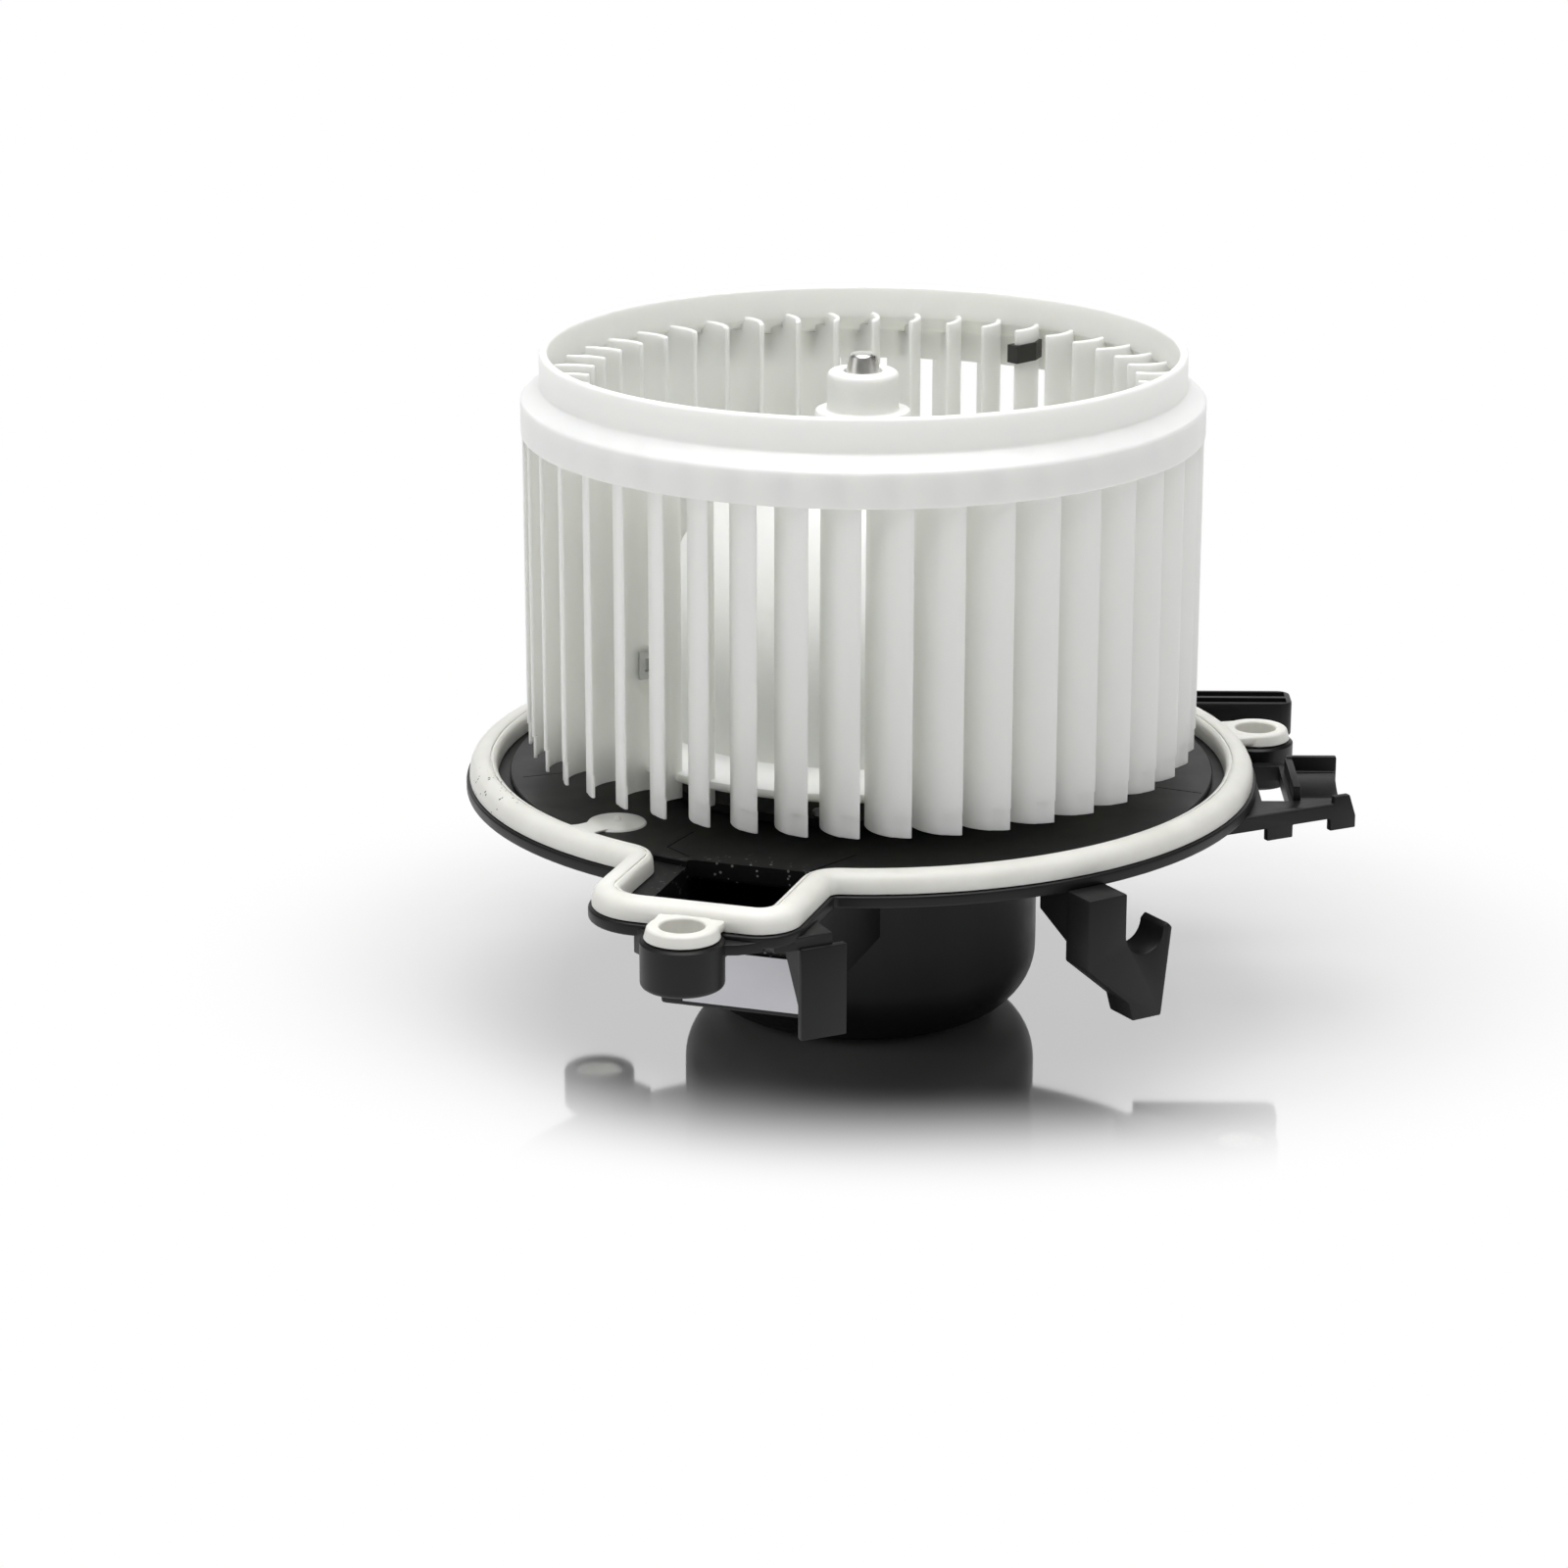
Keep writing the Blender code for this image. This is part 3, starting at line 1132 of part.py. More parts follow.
def end_plate():
    """The plate that closes the yoke's open end and holds the lower bearing."""
    edge = YOKE_INSIDE - FIT
    seat = LOWER_BEARING - FIT
    cup_top = LOWER_BEARING + BEARING_HEIGHT + FIT
    profile = [
        (0.0, seat),
        (BEARING_SEAT, seat),
        (BEARING_SEAT, cup_top),
        (BEARING_CUP_RADIUS, cup_top),
        (BEARING_CUP_RADIUS, END_PLATE_TOP),
        (edge, END_PLATE_TOP),
        (edge, YOKE_BOTTOM),
        (BEARING_CUP_RADIUS, YOKE_BOTTOM),
        (BEARING_CUP_RADIUS, seat - BEARING_CUP_WALL),
        (0.0, seat - BEARING_CUP_WALL),
    ]
    turned("motor_end_plate", profile, MOTOR_STEPS, ZINC_STEEL, closed=False)


def bearings():
    """Two sintered bushes and the pressed caps that hold them in their pockets."""
    lower_cap = LOWER_BEARING + BEARING_HEIGHT + 2 * FIT
    upper_cap = UPPER_BEARING - FIT - BEARING_CAP_THICKNESS
    for name, low, cap_low in (("lower", LOWER_BEARING, lower_cap), ("upper", UPPER_BEARING, upper_cap)):
        high = low + BEARING_HEIGHT
        bush = [(BORE_RADIUS, high), (BEARING_RADIUS, high), (BEARING_RADIUS, low), (BORE_RADIUS, low)]
        turned(f"bearing_{name}", bush, SMALL_STEPS, BRONZE)
        cap_high = cap_low + BEARING_CAP_THICKNESS
        cap_bore = BORE_RADIUS + FIT
        cap = [(cap_bore, cap_high), (BEARING_CUP_RADIUS, cap_high), (BEARING_CUP_RADIUS, cap_low),
               (cap_bore, cap_low)]
        turned(f"bearing_cap_{name}", cap, SMALL_STEPS, ZINC_STEEL)


def arc_plate(inside, outside, start, end, steps):
    """Plan outline of a curved plate between two angles."""
    return arc((0.0, 0.0), outside, start, end, steps) + arc((0.0, 0.0), inside, end, start, steps)


def magnets():
    """Two ferrite shells in the yoke, with a spring clip in each gap between them."""
    low = CORE_BOTTOM - CORE_MARGIN
    high = CORE_TOP + CORE_MARGIN
    for name, angle in (("magnet_front", -math.pi / 2), ("magnet_rear", math.pi / 2)):
        outline = arc_plate(MAGNET_INSIDE, MAGNET_OUTSIDE, -MAGNET_HALF_ANGLE, MAGNET_HALF_ANGLE, 8)
        place(name, turn_to(outline_mesh(name, [outline], low, high), angle), FERRITE)
    reach = math.pi / 2 - MAGNET_HALF_ANGLE - 2 * FIT / MAGNET_INSIDE
    leg = MAGNET_CLIP_WALL / MAGNET_INSIDE
    back = MAGNET_OUTSIDE - MAGNET_CLIP_WALL
    leg_inside = (MAGNET_INSIDE + MAGNET_OUTSIDE) / 2
    clip_arc = arc((0.0, 0.0), MAGNET_OUTSIDE, -reach, reach, 4)
    clip_arc += arc((0.0, 0.0), leg_inside, reach, reach - leg, 1)
    clip_arc += arc((0.0, 0.0), back, reach - leg, leg - reach, 4)
    clip_arc += arc((0.0, 0.0), leg_inside, leg - reach, -reach, 1)
    for name, angle in (("magnet_clip_left", math.pi), ("magnet_clip_right", 0.0)):
        place(name, turn_to(outline_mesh(name, [clip_arc], low, high), angle), ZINC_STEEL)


def armature_core():
    """The laminated core: teeth with wide tips round a hub, and slots between them."""
    pitch = math.tau / TOOTH_COUNT
    tip_half = pitch / 2 - math.asin(SLOT_MOUTH / 2 / CORE_RADIUS)
    neck = CORE_RADIUS - TOOTH_TIP_THICKNESS
    neck_half = math.asin(TOOTH_WIDTH / 2 / neck)
    root_half = math.asin(TOOTH_WIDTH / 2 / CORE_HUB_RADIUS)
    outline = []
    for number in range(TOOTH_COUNT):
        middle = number * pitch
        outline.append(polar(CORE_HUB_RADIUS, middle - root_half))
        outline.append(polar(neck, middle - neck_half))
        outline += arc((0.0, 0.0), CORE_RADIUS, middle - tip_half, middle + tip_half, 2)
        outline.append(polar(neck, middle + neck_half))
        outline.append(polar(CORE_HUB_RADIUS, middle + root_half))
    bore = arc((0.0, 0.0), BORE_RADIUS, 0.0, math.tau, SMALL_STEPS)[:-1]
    core = outline_mesh("armature_core", [outline, bore], CORE_BOTTOM, CORE_TOP)
    place("armature_core", core, DARK_STEEL)


def coil_head(low, high, outer, rounded_top):
    """Section of one coil head, rounded at its free end."""
    inner = CORE_HUB_RADIUS + WINDING_GAP
    slant = WINDING_HEAD / 4
    if rounded_top:
        return [(inner, high), (outer - slant, high), (outer, high - slant), (outer, low), (inner, low)]
    return [(inner, high), (outer, high), (outer, low + slant), (outer - slant, low), (inner, low)]


def armature_windings():
    """The copper: a bar in each slot of the core, and a rounded coil head at each end."""
    outer = CORE_RADIUS - TOOTH_TIP_THICKNESS - WINDING_GAP
    head_low = CORE_TOP + FIT
    head_high = CORE_BOTTOM - FIT
    copper = turned("armature_windings", coil_head(head_low, head_low + WINDING_HEAD, outer, True),
                    TOOTH_COUNT, COPPER)
    unite(copper, turned("lower_head", coil_head(head_high - WINDING_HEAD, head_high, outer, False),
                         TOOTH_COUNT))
    pitch = math.tau / TOOTH_COUNT
    side_gap = TOOTH_WIDTH / 2 + WINDING_GAP
    near = CORE_HUB_RADIUS + 2 * WINDING_GAP
    far = (outer - WINDING_GAP) * math.cos(pitch / 2)
    near_half = near * math.sin(pitch / 2) - side_gap
    far_half = far * math.tan(pitch / 2) - side_gap
    outline = [(near, -near_half), (far, -far_half), (far, far_half), (near, near_half)]
    for number in range(TOOTH_COUNT):
        bar = outline_mesh(f"winding_bar_{number}", [outline], head_high - WINDING_GAP,
                           head_low + WINDING_GAP)
        unite(copper, turn_to(bar, (number + 0.5) * pitch))


def commutator():
    """The commutator: a copper barrel with a riser under the coil head."""
    profile = [
        (BORE_RADIUS, COMMUTATOR_TOP),
        (COMMUTATOR_RADIUS + COMMUTATOR_RISER, COMMUTATOR_TOP),
        (COMMUTATOR_RADIUS + COMMUTATOR_RISER, COMMUTATOR_TOP - COMMUTATOR_RISER),
        (COMMUTATOR_RADIUS, COMMUTATOR_TOP - COMMUTATOR_RISER),
        (COMMUTATOR_RADIUS, COMMUTATOR_BOTTOM),
        (BORE_RADIUS, COMMUTATOR_BOTTOM),
    ]
    turned("commutator", profile, SMALL_STEPS, COPPER)


def brush_card():
    """The moulded brush card on three legs, with a hole for the shaft."""
    edge = YOKE_INSIDE - FIT
    hole = SHAFT_RADIUS + CARD_HOLE_MARGIN
    profile = [(hole, CARD_TOP), (edge, CARD_TOP), (edge, CARD_BOTTOM), (hole, CARD_BOTTOM)]
    card = turned("brush_card", profile, MOTOR_STEPS, CARD_BROWN)
    for number in range(CARD_LEG_COUNT):
        centre = polar(edge - CARD_LEG_INSET, CARD_LEG_ANGLE + number * math.tau / CARD_LEG_COUNT)
        unite(card, cylinder_mesh(f"card_leg_{number}", CARD_LEG_RADIUS, END_PLATE_TOP + FIT,
                                  CARD_TOP - BRUSH_CARD_THICKNESS / 2, 8, centre))


def brush_gear():
    """On each side a brass holder, a carbon brush that slides in it and the spring behind it."""
    low = CARD_TOP + FIT + HOLDER_WALL
    high = low + BRUSH_HEIGHT + 2 * FIT
    half = BRUSH_WIDTH / 2 + FIT
    face = COMMUTATOR_RADIUS + FIT
    brush_back = face + BRUSH_LENGTH
    bore_end = brush_back + SPRING_LENGTH + 2 * FIT
    for name, angle in (("left", math.pi), ("right", 0.0)):
        tube = box_mesh(f"brush_holder_{name}",
                        (face + HOLDER_SETBACK, -half - HOLDER_WALL, low - HOLDER_WALL),
                        (bore_end + HOLDER_WALL, half + HOLDER_WALL, high + HOLDER_WALL))
        bore = box_mesh(f"holder_bore_{name}", (face, -half, low), (bore_end, half, high))
        cut(place(f"brush_holder_{name}", turn_to(tube, angle), BRASS), turn_to(bore, angle))
        brush = box_mesh(f"brush_{name}", (face, -BRUSH_WIDTH / 2, low + FIT),
                         (brush_back, BRUSH_WIDTH / 2, high - FIT))
        place(f"brush_{name}", turn_to(brush, angle), CARBON)
        brush_spring(f"brush_spring_{name}", brush_back + FIT, (low + high) / 2, angle)


def brush_spring(name, start, height, angle):
    """A coil spring lying along a radius behind its brush."""
    curve = bpy.data.curves.new(name, "CURVE")
    curve.dimensions = "3D"
    curve.bevel_depth = SPRING_WIRE
    curve.bevel_resolution = 0
    curve.use_fill_caps = True
    steps = SPRING_STEPS * SPRING_TURNS
    spline = curve.splines.new("POLY")
    spline.points.add(steps)
    run = SPRING_LENGTH - 2 * SPRING_WIRE
    for step, point in enumerate(spline.points):
        turn = math.tau * step / SPRING_STEPS
        along = start + SPRING_WIRE + run * step / steps
        point.co = (along, SPRING_RADIUS * math.cos(turn), height + SPRING_RADIUS * math.sin(turn), 1.0)
    spring = bpy.data.objects.new(name, curve)
    spring.rotation_euler.z = angle
    PARTS.objects.link(spring)
    curve.materials.append(material(BRIGHT_STEEL))


def suppression_parts():
    """Two chokes and a capacitor on the brush card."""
    base = CARD_TOP + FIT
    across, along = CHOKE_PLACE
    for name, side in (("choke_left", -1), ("choke_right", 1)):
        choke = cylinder_mesh(name, CHOKE_RADIUS, -CHOKE_LENGTH / 2, CHOKE_LENGTH / 2, 12)
        choke.transform(Matrix.Rotation(math.pi / 2, 4, "Y"))
        choke.transform(Matrix.Translation((side * across, along, base + CHOKE_RADIUS)))
        place(name, choke, COPPER)
    width, depth, height = CAPACITOR_SIZE
    place("capacitor", box_mesh("capacitor", (-width / 2, CAPACITOR_FRONT, base),
                                (width / 2, CAPACITOR_FRONT + depth, base + height)), CARD_BROWN)


def terminals():
    """The two brass blades that run from the brush card into the plug socket."""
    base = CARD_TOP + FIT
    end = SOCKET_REACH - TERMINAL_RECESS
    for name, side in (("terminal_minus", -1), ("terminal_plus", 1)):
        centre = side * TERMINAL_SPACING / 2
        place(name, box_mesh(name, (centre - TERMINAL_WIDTH / 2, TERMINAL_START, base),
                             (centre + TERMINAL_WIDTH / 2, end, base + TERMINAL_THICKNESS)), BRASS)


def damper_rings():
    """The rubber ring under the yoke and the one between the yoke and the cup's mouth."""
    inner = DAMPER_FOOT_RADIUS
    outer = CUP_RADIUS - CUP_CORNER
    low = CUP_WALL + FIT
    high = low + DAMPER_FOOT_HEIGHT
    foot = [(inner, high), (outer, high), (outer, low), (inner, low)]
    turned("damper_ring_lower", foot, MOTOR_STEPS, RUBBER)
    inner = YOKE_RADIUS + FIT
    outer = CUP_INSIDE - FIT
    high = DISC_TOP
    low = high - DAMPER_HEIGHT
    turned("damper_ring_upper", [(inner, high), (outer, high), (outer, low), (inner, low)],
           MOTOR_STEPS, RUBBER)


def retainer_screw_places():
    """Plan points of the retainer's screws, outside the cup's fillet."""
    reach = (CUP_RADIUS + CUP_EDGE_FILLET + RETAINER_RADIUS) / 2
    return [polar(reach, RETAINER_SCREW_ANGLE + number * math.tau / RETAINER_SCREW_COUNT)
            for number in range(RETAINER_SCREW_COUNT)]


def retainer():
    """The ring that keeps the motor in the cup."""
    low = DISC_TOP + FIT
    high = low + RETAINER_THICKNESS
    inner = YOKE_RADIUS + FIT
    profile = [(inner, high), (RETAINER_RADIUS, high), (RETAINER_RADIUS, low), (inner, low)]
    ring = turned("motor_retainer_ring", profile, MOTOR_STEPS, BLACK_PLASTIC)
    for number, centre in enumerate(retainer_screw_places()):
        cut(ring, cylinder_mesh(f"ring_hole_{number}", RETAINER_SCREW_RADIUS + FIT, low - CUP_WALL,
                                high + CUP_WALL, 8, centre))


def retainer_screws():
    """The screws that hold the retainer on the carrier's disc."""
    head_low = DISC_TOP + RETAINER_THICKNESS + 2 * FIT
    stem_low = head_low - RETAINER_SCREW_LENGTH
    profile = [
        (0.0, head_low + RETAINER_SCREW_RISE),
        (RETAINER_SCREW_HEAD, head_low + RETAINER_SCREW_RISE / 2),
        (RETAINER_SCREW_HEAD, head_low),
        (RETAINER_SCREW_RADIUS, head_low),
        (RETAINER_SCREW_RADIUS, stem_low),
        (0.0, stem_low),
    ]
    for number, centre in enumerate(retainer_screw_places()):
        screw = turned(f"retainer_screw_{number + 1}", profile, 8, ZINC_STEEL, closed=False)
        screw.location = (centre.x, centre.y, 0.0)


motor_carrier()
flange_seal()
label()
damper_rings()
retainer()
retainer_screws()
motor_yoke()
end_plate()
bearings()
magnets()
brush_card()
brush_gear()
suppression_parts()
terminals()
motor_shaft()
commutator()
armature_core()
armature_windings()
blower_wheel()
balance_clips()
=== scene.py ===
"""The looks of a car cabin blower motor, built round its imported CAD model."""

import json
import math

import bpy
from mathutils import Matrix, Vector


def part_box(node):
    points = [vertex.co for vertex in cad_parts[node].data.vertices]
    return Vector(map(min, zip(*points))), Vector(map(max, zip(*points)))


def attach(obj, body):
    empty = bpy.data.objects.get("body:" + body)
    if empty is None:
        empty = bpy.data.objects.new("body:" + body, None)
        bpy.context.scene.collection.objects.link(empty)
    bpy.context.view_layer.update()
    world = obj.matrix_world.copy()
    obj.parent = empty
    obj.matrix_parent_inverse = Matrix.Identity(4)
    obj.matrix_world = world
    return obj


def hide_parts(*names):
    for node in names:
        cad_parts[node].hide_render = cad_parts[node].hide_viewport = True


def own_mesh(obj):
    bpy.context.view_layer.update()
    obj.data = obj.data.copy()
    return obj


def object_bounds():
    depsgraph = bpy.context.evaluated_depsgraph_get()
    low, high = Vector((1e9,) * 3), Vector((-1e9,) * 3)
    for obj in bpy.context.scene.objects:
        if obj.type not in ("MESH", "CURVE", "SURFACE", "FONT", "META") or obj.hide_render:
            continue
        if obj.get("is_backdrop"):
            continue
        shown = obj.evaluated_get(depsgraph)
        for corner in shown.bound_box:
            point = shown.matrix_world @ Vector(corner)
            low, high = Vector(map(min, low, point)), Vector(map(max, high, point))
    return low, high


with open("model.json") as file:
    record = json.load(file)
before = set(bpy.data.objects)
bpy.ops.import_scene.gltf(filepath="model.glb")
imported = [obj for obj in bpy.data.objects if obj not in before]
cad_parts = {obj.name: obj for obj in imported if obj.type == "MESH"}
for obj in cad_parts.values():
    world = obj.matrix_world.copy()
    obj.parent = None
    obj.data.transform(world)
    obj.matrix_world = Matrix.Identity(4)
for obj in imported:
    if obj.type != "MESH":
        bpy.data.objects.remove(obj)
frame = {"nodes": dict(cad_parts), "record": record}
cad_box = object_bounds()


# The photograph's view: a long lens a little above the wheel, looking slightly down and to the left.
# The angles and the focal length come from fitting the wheel's rings, the seal and the cup.
CAMERA_PLACE = (0.0, -1.0, 0.3702)
CAMERA_DOWN = math.radians(17.545)
CAMERA_LEFT = math.radians(1.057)
CAMERA_LENS = 100.24

bpy.ops.object.camera_add(location=CAMERA_PLACE, rotation=(math.pi / 2 - CAMERA_DOWN, 0.0, CAMERA_LEFT))
camera = bpy.context.object
camera.data.lens = CAMERA_LENS
camera.data.sensor_width = 36.0
camera.data.clip_start = 0.05
camera.data.clip_end = 50.0
bpy.context.scene.camera = camera
bpy.context.scene.view_settings.view_transform = "Standard"


# The table: a white glossy sheet that mirrors the cup close to it and goes over into plain white
# further out. Behind it the world is white, but only to the camera: to all else it is a weak fill light.
TABLE_SIZE = 12.0
TABLE_GAP = 0.0002
TABLE_NEAR = 0.085
TABLE_FAR = 0.162
TABLE_CENTRE = (0.017, 0.030)
TABLE_STRETCH = 0.82
TABLE_GLOSS = 0.62
FILL_LIGHT = 0.11

bpy.ops.mesh.primitive_plane_add(size=TABLE_SIZE, location=(0.0, 0.0, -TABLE_GAP))
table = bpy.context.object
table.name = "table"
bpy.ops.object.transform_apply(location=True)
table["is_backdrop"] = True


def node_of(tree, kind, place, **values):
    """Add a shader node and set the sockets and settings that are named."""
    node = tree.nodes.new(kind)
    node.location = place
    for name, value in values.items():
        label = name.replace("_", " ")
        if label in node.inputs:
            node.inputs[label].default_value = value
        else:
            setattr(node, name, value)
    return node


def wired(tree, *links):
    """Link sockets, each link given as node, output, node, input."""
    for source, leaving, target, entering in links:
        tree.links.new(source.outputs[leaving], target.inputs[entering])


def blank_material(name):
    """Start a material with an output node only."""
    made = bpy.data.materials.new(name)
    made.use_nodes = True
    made.node_tree.nodes.clear()
    output = made.node_tree.nodes.new("ShaderNodeOutputMaterial")
    output.location = (900, 0)
    return made, made.node_tree, output


white_table, tree, output = blank_material("white_table")
coordinates = node_of(tree, "ShaderNodeTexCoord", (-900, 0))
offset = node_of(tree, "ShaderNodeVectorMath", (-700, 0), operation="SUBTRACT")
offset.inputs[1].default_value = (*TABLE_CENTRE, 0.0)
flatten = node_of(tree, "ShaderNodeVectorMath", (-520, 0), operation="MULTIPLY")
flatten.inputs[1].default_value = (TABLE_STRETCH, 1.0, 0.0)
distance = node_of(tree, "ShaderNodeVectorMath", (-340, 0), operation="LENGTH")
fade = node_of(tree, "ShaderNodeMapRange", (-160, 0), interpolation_type="SMOOTHERSTEP",
               From_Min=TABLE_NEAR, From_Max=TABLE_FAR)
matt = node_of(tree, "ShaderNodeBsdfDiffuse", (0, -150), Color=(0.74, 0.74, 0.74, 1.0))
mirror = node_of(tree, "ShaderNodeBsdfGlossy", (0, -300), Color=(0.95, 0.95, 0.95, 1.0), Roughness=0.05)
sheet = node_of(tree, "ShaderNodeMixShader", (250, -200), Fac=TABLE_GLOSS)
plain = node_of(tree, "ShaderNodeEmission", (250, 150), Color=(1.0, 1.0, 1.0, 1.0), Strength=1.0)
ending = node_of(tree, "ShaderNodeMixShader", (600, 0))
wired(tree, (coordinates, "Object", offset, 0), (offset, 0, flatten, 0), (flatten, 0, distance, 0),
      (distance, "Value", fade, "Value"), (matt, 0, sheet, 1), (mirror, 0, sheet, 2),
      (fade, "Result", ending, "Fac"), (sheet, 0, ending, 1), (plain, 0, ending, 2),
      (ending, 0, output, "Surface"))
table.data.materials.append(white_table)

world = bpy.data.worlds.new("studio")
world.use_nodes = True
bpy.context.scene.world = world
tree = world.node_tree
tree.nodes.clear()
sky = node_of(tree, "ShaderNodeOutputWorld", (600, 0))
rays = node_of(tree, "ShaderNodeLightPath", (-600, 200))
seen_white = node_of(tree, "ShaderNodeBackground", (0, 150), Color=(1.0, 1.0, 1.0, 1.0), Strength=1.0)
fill_light = node_of(tree, "ShaderNodeBackground", (0, 0), Color=(1.0, 1.0, 1.0, 1.0), Strength=FILL_LIGHT)
choose = node_of(tree, "ShaderNodeMixShader", (300, 0))
wired(tree, (rays, "Is Camera Ray", choose, "Fac"), (fill_light, 0, choose, 1),
      (seen_white, 0, choose, 2), (choose, 0, sky, "Surface"))


# The studio light: a wide soft box above the wheel, a white wall of light behind the object, and
# two weaker boxes at the sides of the camera. Values are place, aim, size and watts.
SOFT_BOXES = {
    "top_box": ((0.0, -0.10, 1.5), (0.0, 0.0, 0.08), (1.3, 1.3), 29.5),
    "back_wall": ((0.0, 1.9, 0.75), (0.0, 0.0, 0.1), (3.0, 1.2), 9.0),
    "left_box": ((-1.5, -0.55, 0.65), (0.0, 0.0, 0.08), (0.9, 1.1), 3.0),
    "right_box": ((1.5, -0.65, 0.60), (0.0, 0.0, 0.08), (0.8, 1.0), 0.7),
}

for name, (place, aim, size, watts) in SOFT_BOXES.items():
    turn = (Vector(aim) - Vector(place)).to_track_quat("-Z", "Y").to_euler()
    bpy.ops.object.light_add(type="AREA", location=place, rotation=turn)
    lamp = bpy.context.object
    lamp.name = name
    lamp.data.shape = "RECTANGLE"
    lamp.data.size, lamp.data.size_y = size
    lamp.data.energy = watts


# The motor carrier: one black moulding of cup, disc, rim, cooling-air pocket, duct, bosses and
# clips, in filled polypropylene with a low sheen. Each form is drawn, swept and rounded on its own,
# then the forms are joined and the hollows cut, as the mould's parts would do it.
RIM_UNDER = 0.0551
RIM_TOP = 0.0579
DISC_TOP = 0.0595
DISC_RADIUS = 0.0840
CUP_RADIUS = 0.0425
CUP_INSIDE = 0.0400
CUP_FLOOR = 0.0025
CUP_CORNER = 0.0150
CUP_EDGE_FILLET = 0.0030
RIM_LAP = 0.0060
BEAD_RADIUS = 0.0902
BEAD_WIDTH = 0.0068
RIM_MARGIN = 0.0008
POCKET_ANGLE = math.radians(-107.3)
POCKET_LEFT = 0.0236
POCKET_RIGHT = 0.0184
POCKET_FRONT = 0.1185
LEFT_CORNER = 0.0100
RIGHT_CORNER = 0.0060
NECK_FILLET = 0.0055
ROUND_STEPS = 128
FILLET_STEPS = 9
LEFT_STEPS = 14
RIGHT_STEPS = 12
STEP = 0.0003
SAME_POINT = 0.00005
MERGE = 0.00002
FINE_MERGE = 0.00001
CUT_SPARE = 0.01


def polar(radius, angle):
    """A plan point from its radius and angle."""
    return Vector((radius * math.cos(angle), radius * math.sin(angle)))


def arc(centre, radius, start, end, steps):
    """Plan points along an arc, both ends included."""
    turns = [start + (end - start) * step / steps for step in range(steps + 1)]
    return [Vector(centre) + polar(radius, angle) for angle in turns]


def placed(out, across, angle=POCKET_ANGLE):
    """A plan point from its distance along a direction, by default the pocket's, and across it."""
    return polar(out, angle) + polar(across, angle + math.pi / 2)


def rim_route(offset=0.0):
    """The line round the rim and out round the pocket, or a line beside it."""
    fillet = NECK_FILLET - offset
    necks = []
    for side in (-POCKET_LEFT, POCKET_RIGHT):
        across = side + math.copysign(NECK_FILLET, side)
        out = math.sqrt((BEAD_RADIUS + NECK_FILLET) ** 2 - across ** 2)
        necks.append((Vector((out, across)), math.atan2(across, out)))
    (left_centre, left_angle), (right_centre, right_angle) = necks
    left_middle = (POCKET_FRONT - LEFT_CORNER, -POCKET_LEFT + LEFT_CORNER)
    right_middle = (POCKET_FRONT - RIGHT_CORNER, POCKET_RIGHT - RIGHT_CORNER)
    route = arc((0.0, 0.0), BEAD_RADIUS + offset, right_angle, left_angle + math.tau, ROUND_STEPS)
    route += arc(left_centre, fillet, left_angle + math.pi, math.pi / 2, FILLET_STEPS)
    route += arc(left_middle, LEFT_CORNER + offset, -math.pi / 2, 0.0, LEFT_STEPS)
    route += arc(right_middle, RIGHT_CORNER + offset, 0.0, math.pi / 2, RIGHT_STEPS)
    route += arc(right_centre, fillet, -math.pi / 2, right_angle - math.pi, FILLET_STEPS)
    turned = [placed(point.x, point.y) for point in route]
    return [point for point, after in zip(turned, turned[1:] + turned[:1])
            if (point - after).length > SAME_POINT]


def drawn(name, points, closed=False):
    """Draw a line by extruding a vertex from point to point, and close and fill it if asked."""
    bpy.ops.object.select_all(action="DESELECT")
    bpy.ops.mesh.primitive_plane_add(size=0.001, location=points[0])
    piece = bpy.context.object
    piece.name = name
    bpy.ops.object.transform_apply(location=True)
    bpy.ops.object.mode_set(mode="EDIT")
    bpy.ops.mesh.select_all(action="SELECT")
    bpy.ops.mesh.merge(type="CENTER")
    for start, end in zip(points, points[1:]):
        step = [after - before for before, after in zip(start, end)]
        bpy.ops.mesh.extrude_region_move(TRANSFORM_OT_translate={"value": step})
    bpy.ops.mesh.select_all(action="SELECT")
    if closed:
        bpy.ops.object.mode_set(mode="OBJECT")
        last = len(piece.data.vertices) - 1
        for vertex in piece.data.vertices:
            vertex.select = vertex.index in (0, last)
        for edge in piece.data.edges:
            edge.select = False
        bpy.ops.object.mode_set(mode="EDIT")
        bpy.ops.mesh.edge_face_add()
        bpy.ops.mesh.select_all(action="SELECT")
        bpy.ops.mesh.edge_face_add()
    return piece


def chosen(piece):
    """Make a piece the only one that is selected and active."""
    bpy.ops.object.select_all(action="DESELECT")
    piece.select_set(True)
    bpy.context.view_layer.objects.active = piece


def welded(piece, threshold=MERGE):
    """Merge a piece's doubled points and turn its faces outwards."""
    chosen(piece)
    bpy.ops.object.mode_set(mode="EDIT")
    bpy.ops.mesh.select_all(action="SELECT")
    bpy.ops.mesh.remove_doubles(threshold=threshold)
    bpy.ops.mesh.normals_make_consistent(inside=False)
    bpy.ops.object.mode_set(mode="OBJECT")


def spun(name, profile, steps=ROUND_STEPS, centre=(0.0, 0.0)):
    """Spin a profile of (radius, height) points round an upright axis into a closed shell."""
    piece = drawn(name, [(centre[0] + radius, centre[1], height) for radius, height in profile])
    bpy.ops.mesh.spin(steps=steps, angle=math.tau, center=(*centre, 0.0), axis=(0.0, 0.0, 1.0))
    bpy.ops.object.mode_set(mode="OBJECT")
    welded(piece)
    return piece


def cylinder(name, radius, low, high, steps, centre=(0.0, 0.0)):
    """A plain upright cylinder, to cut with."""
    return spun(name, [(0.0, low), (radius, low), (radius, high), (0.0, high)], steps, centre)


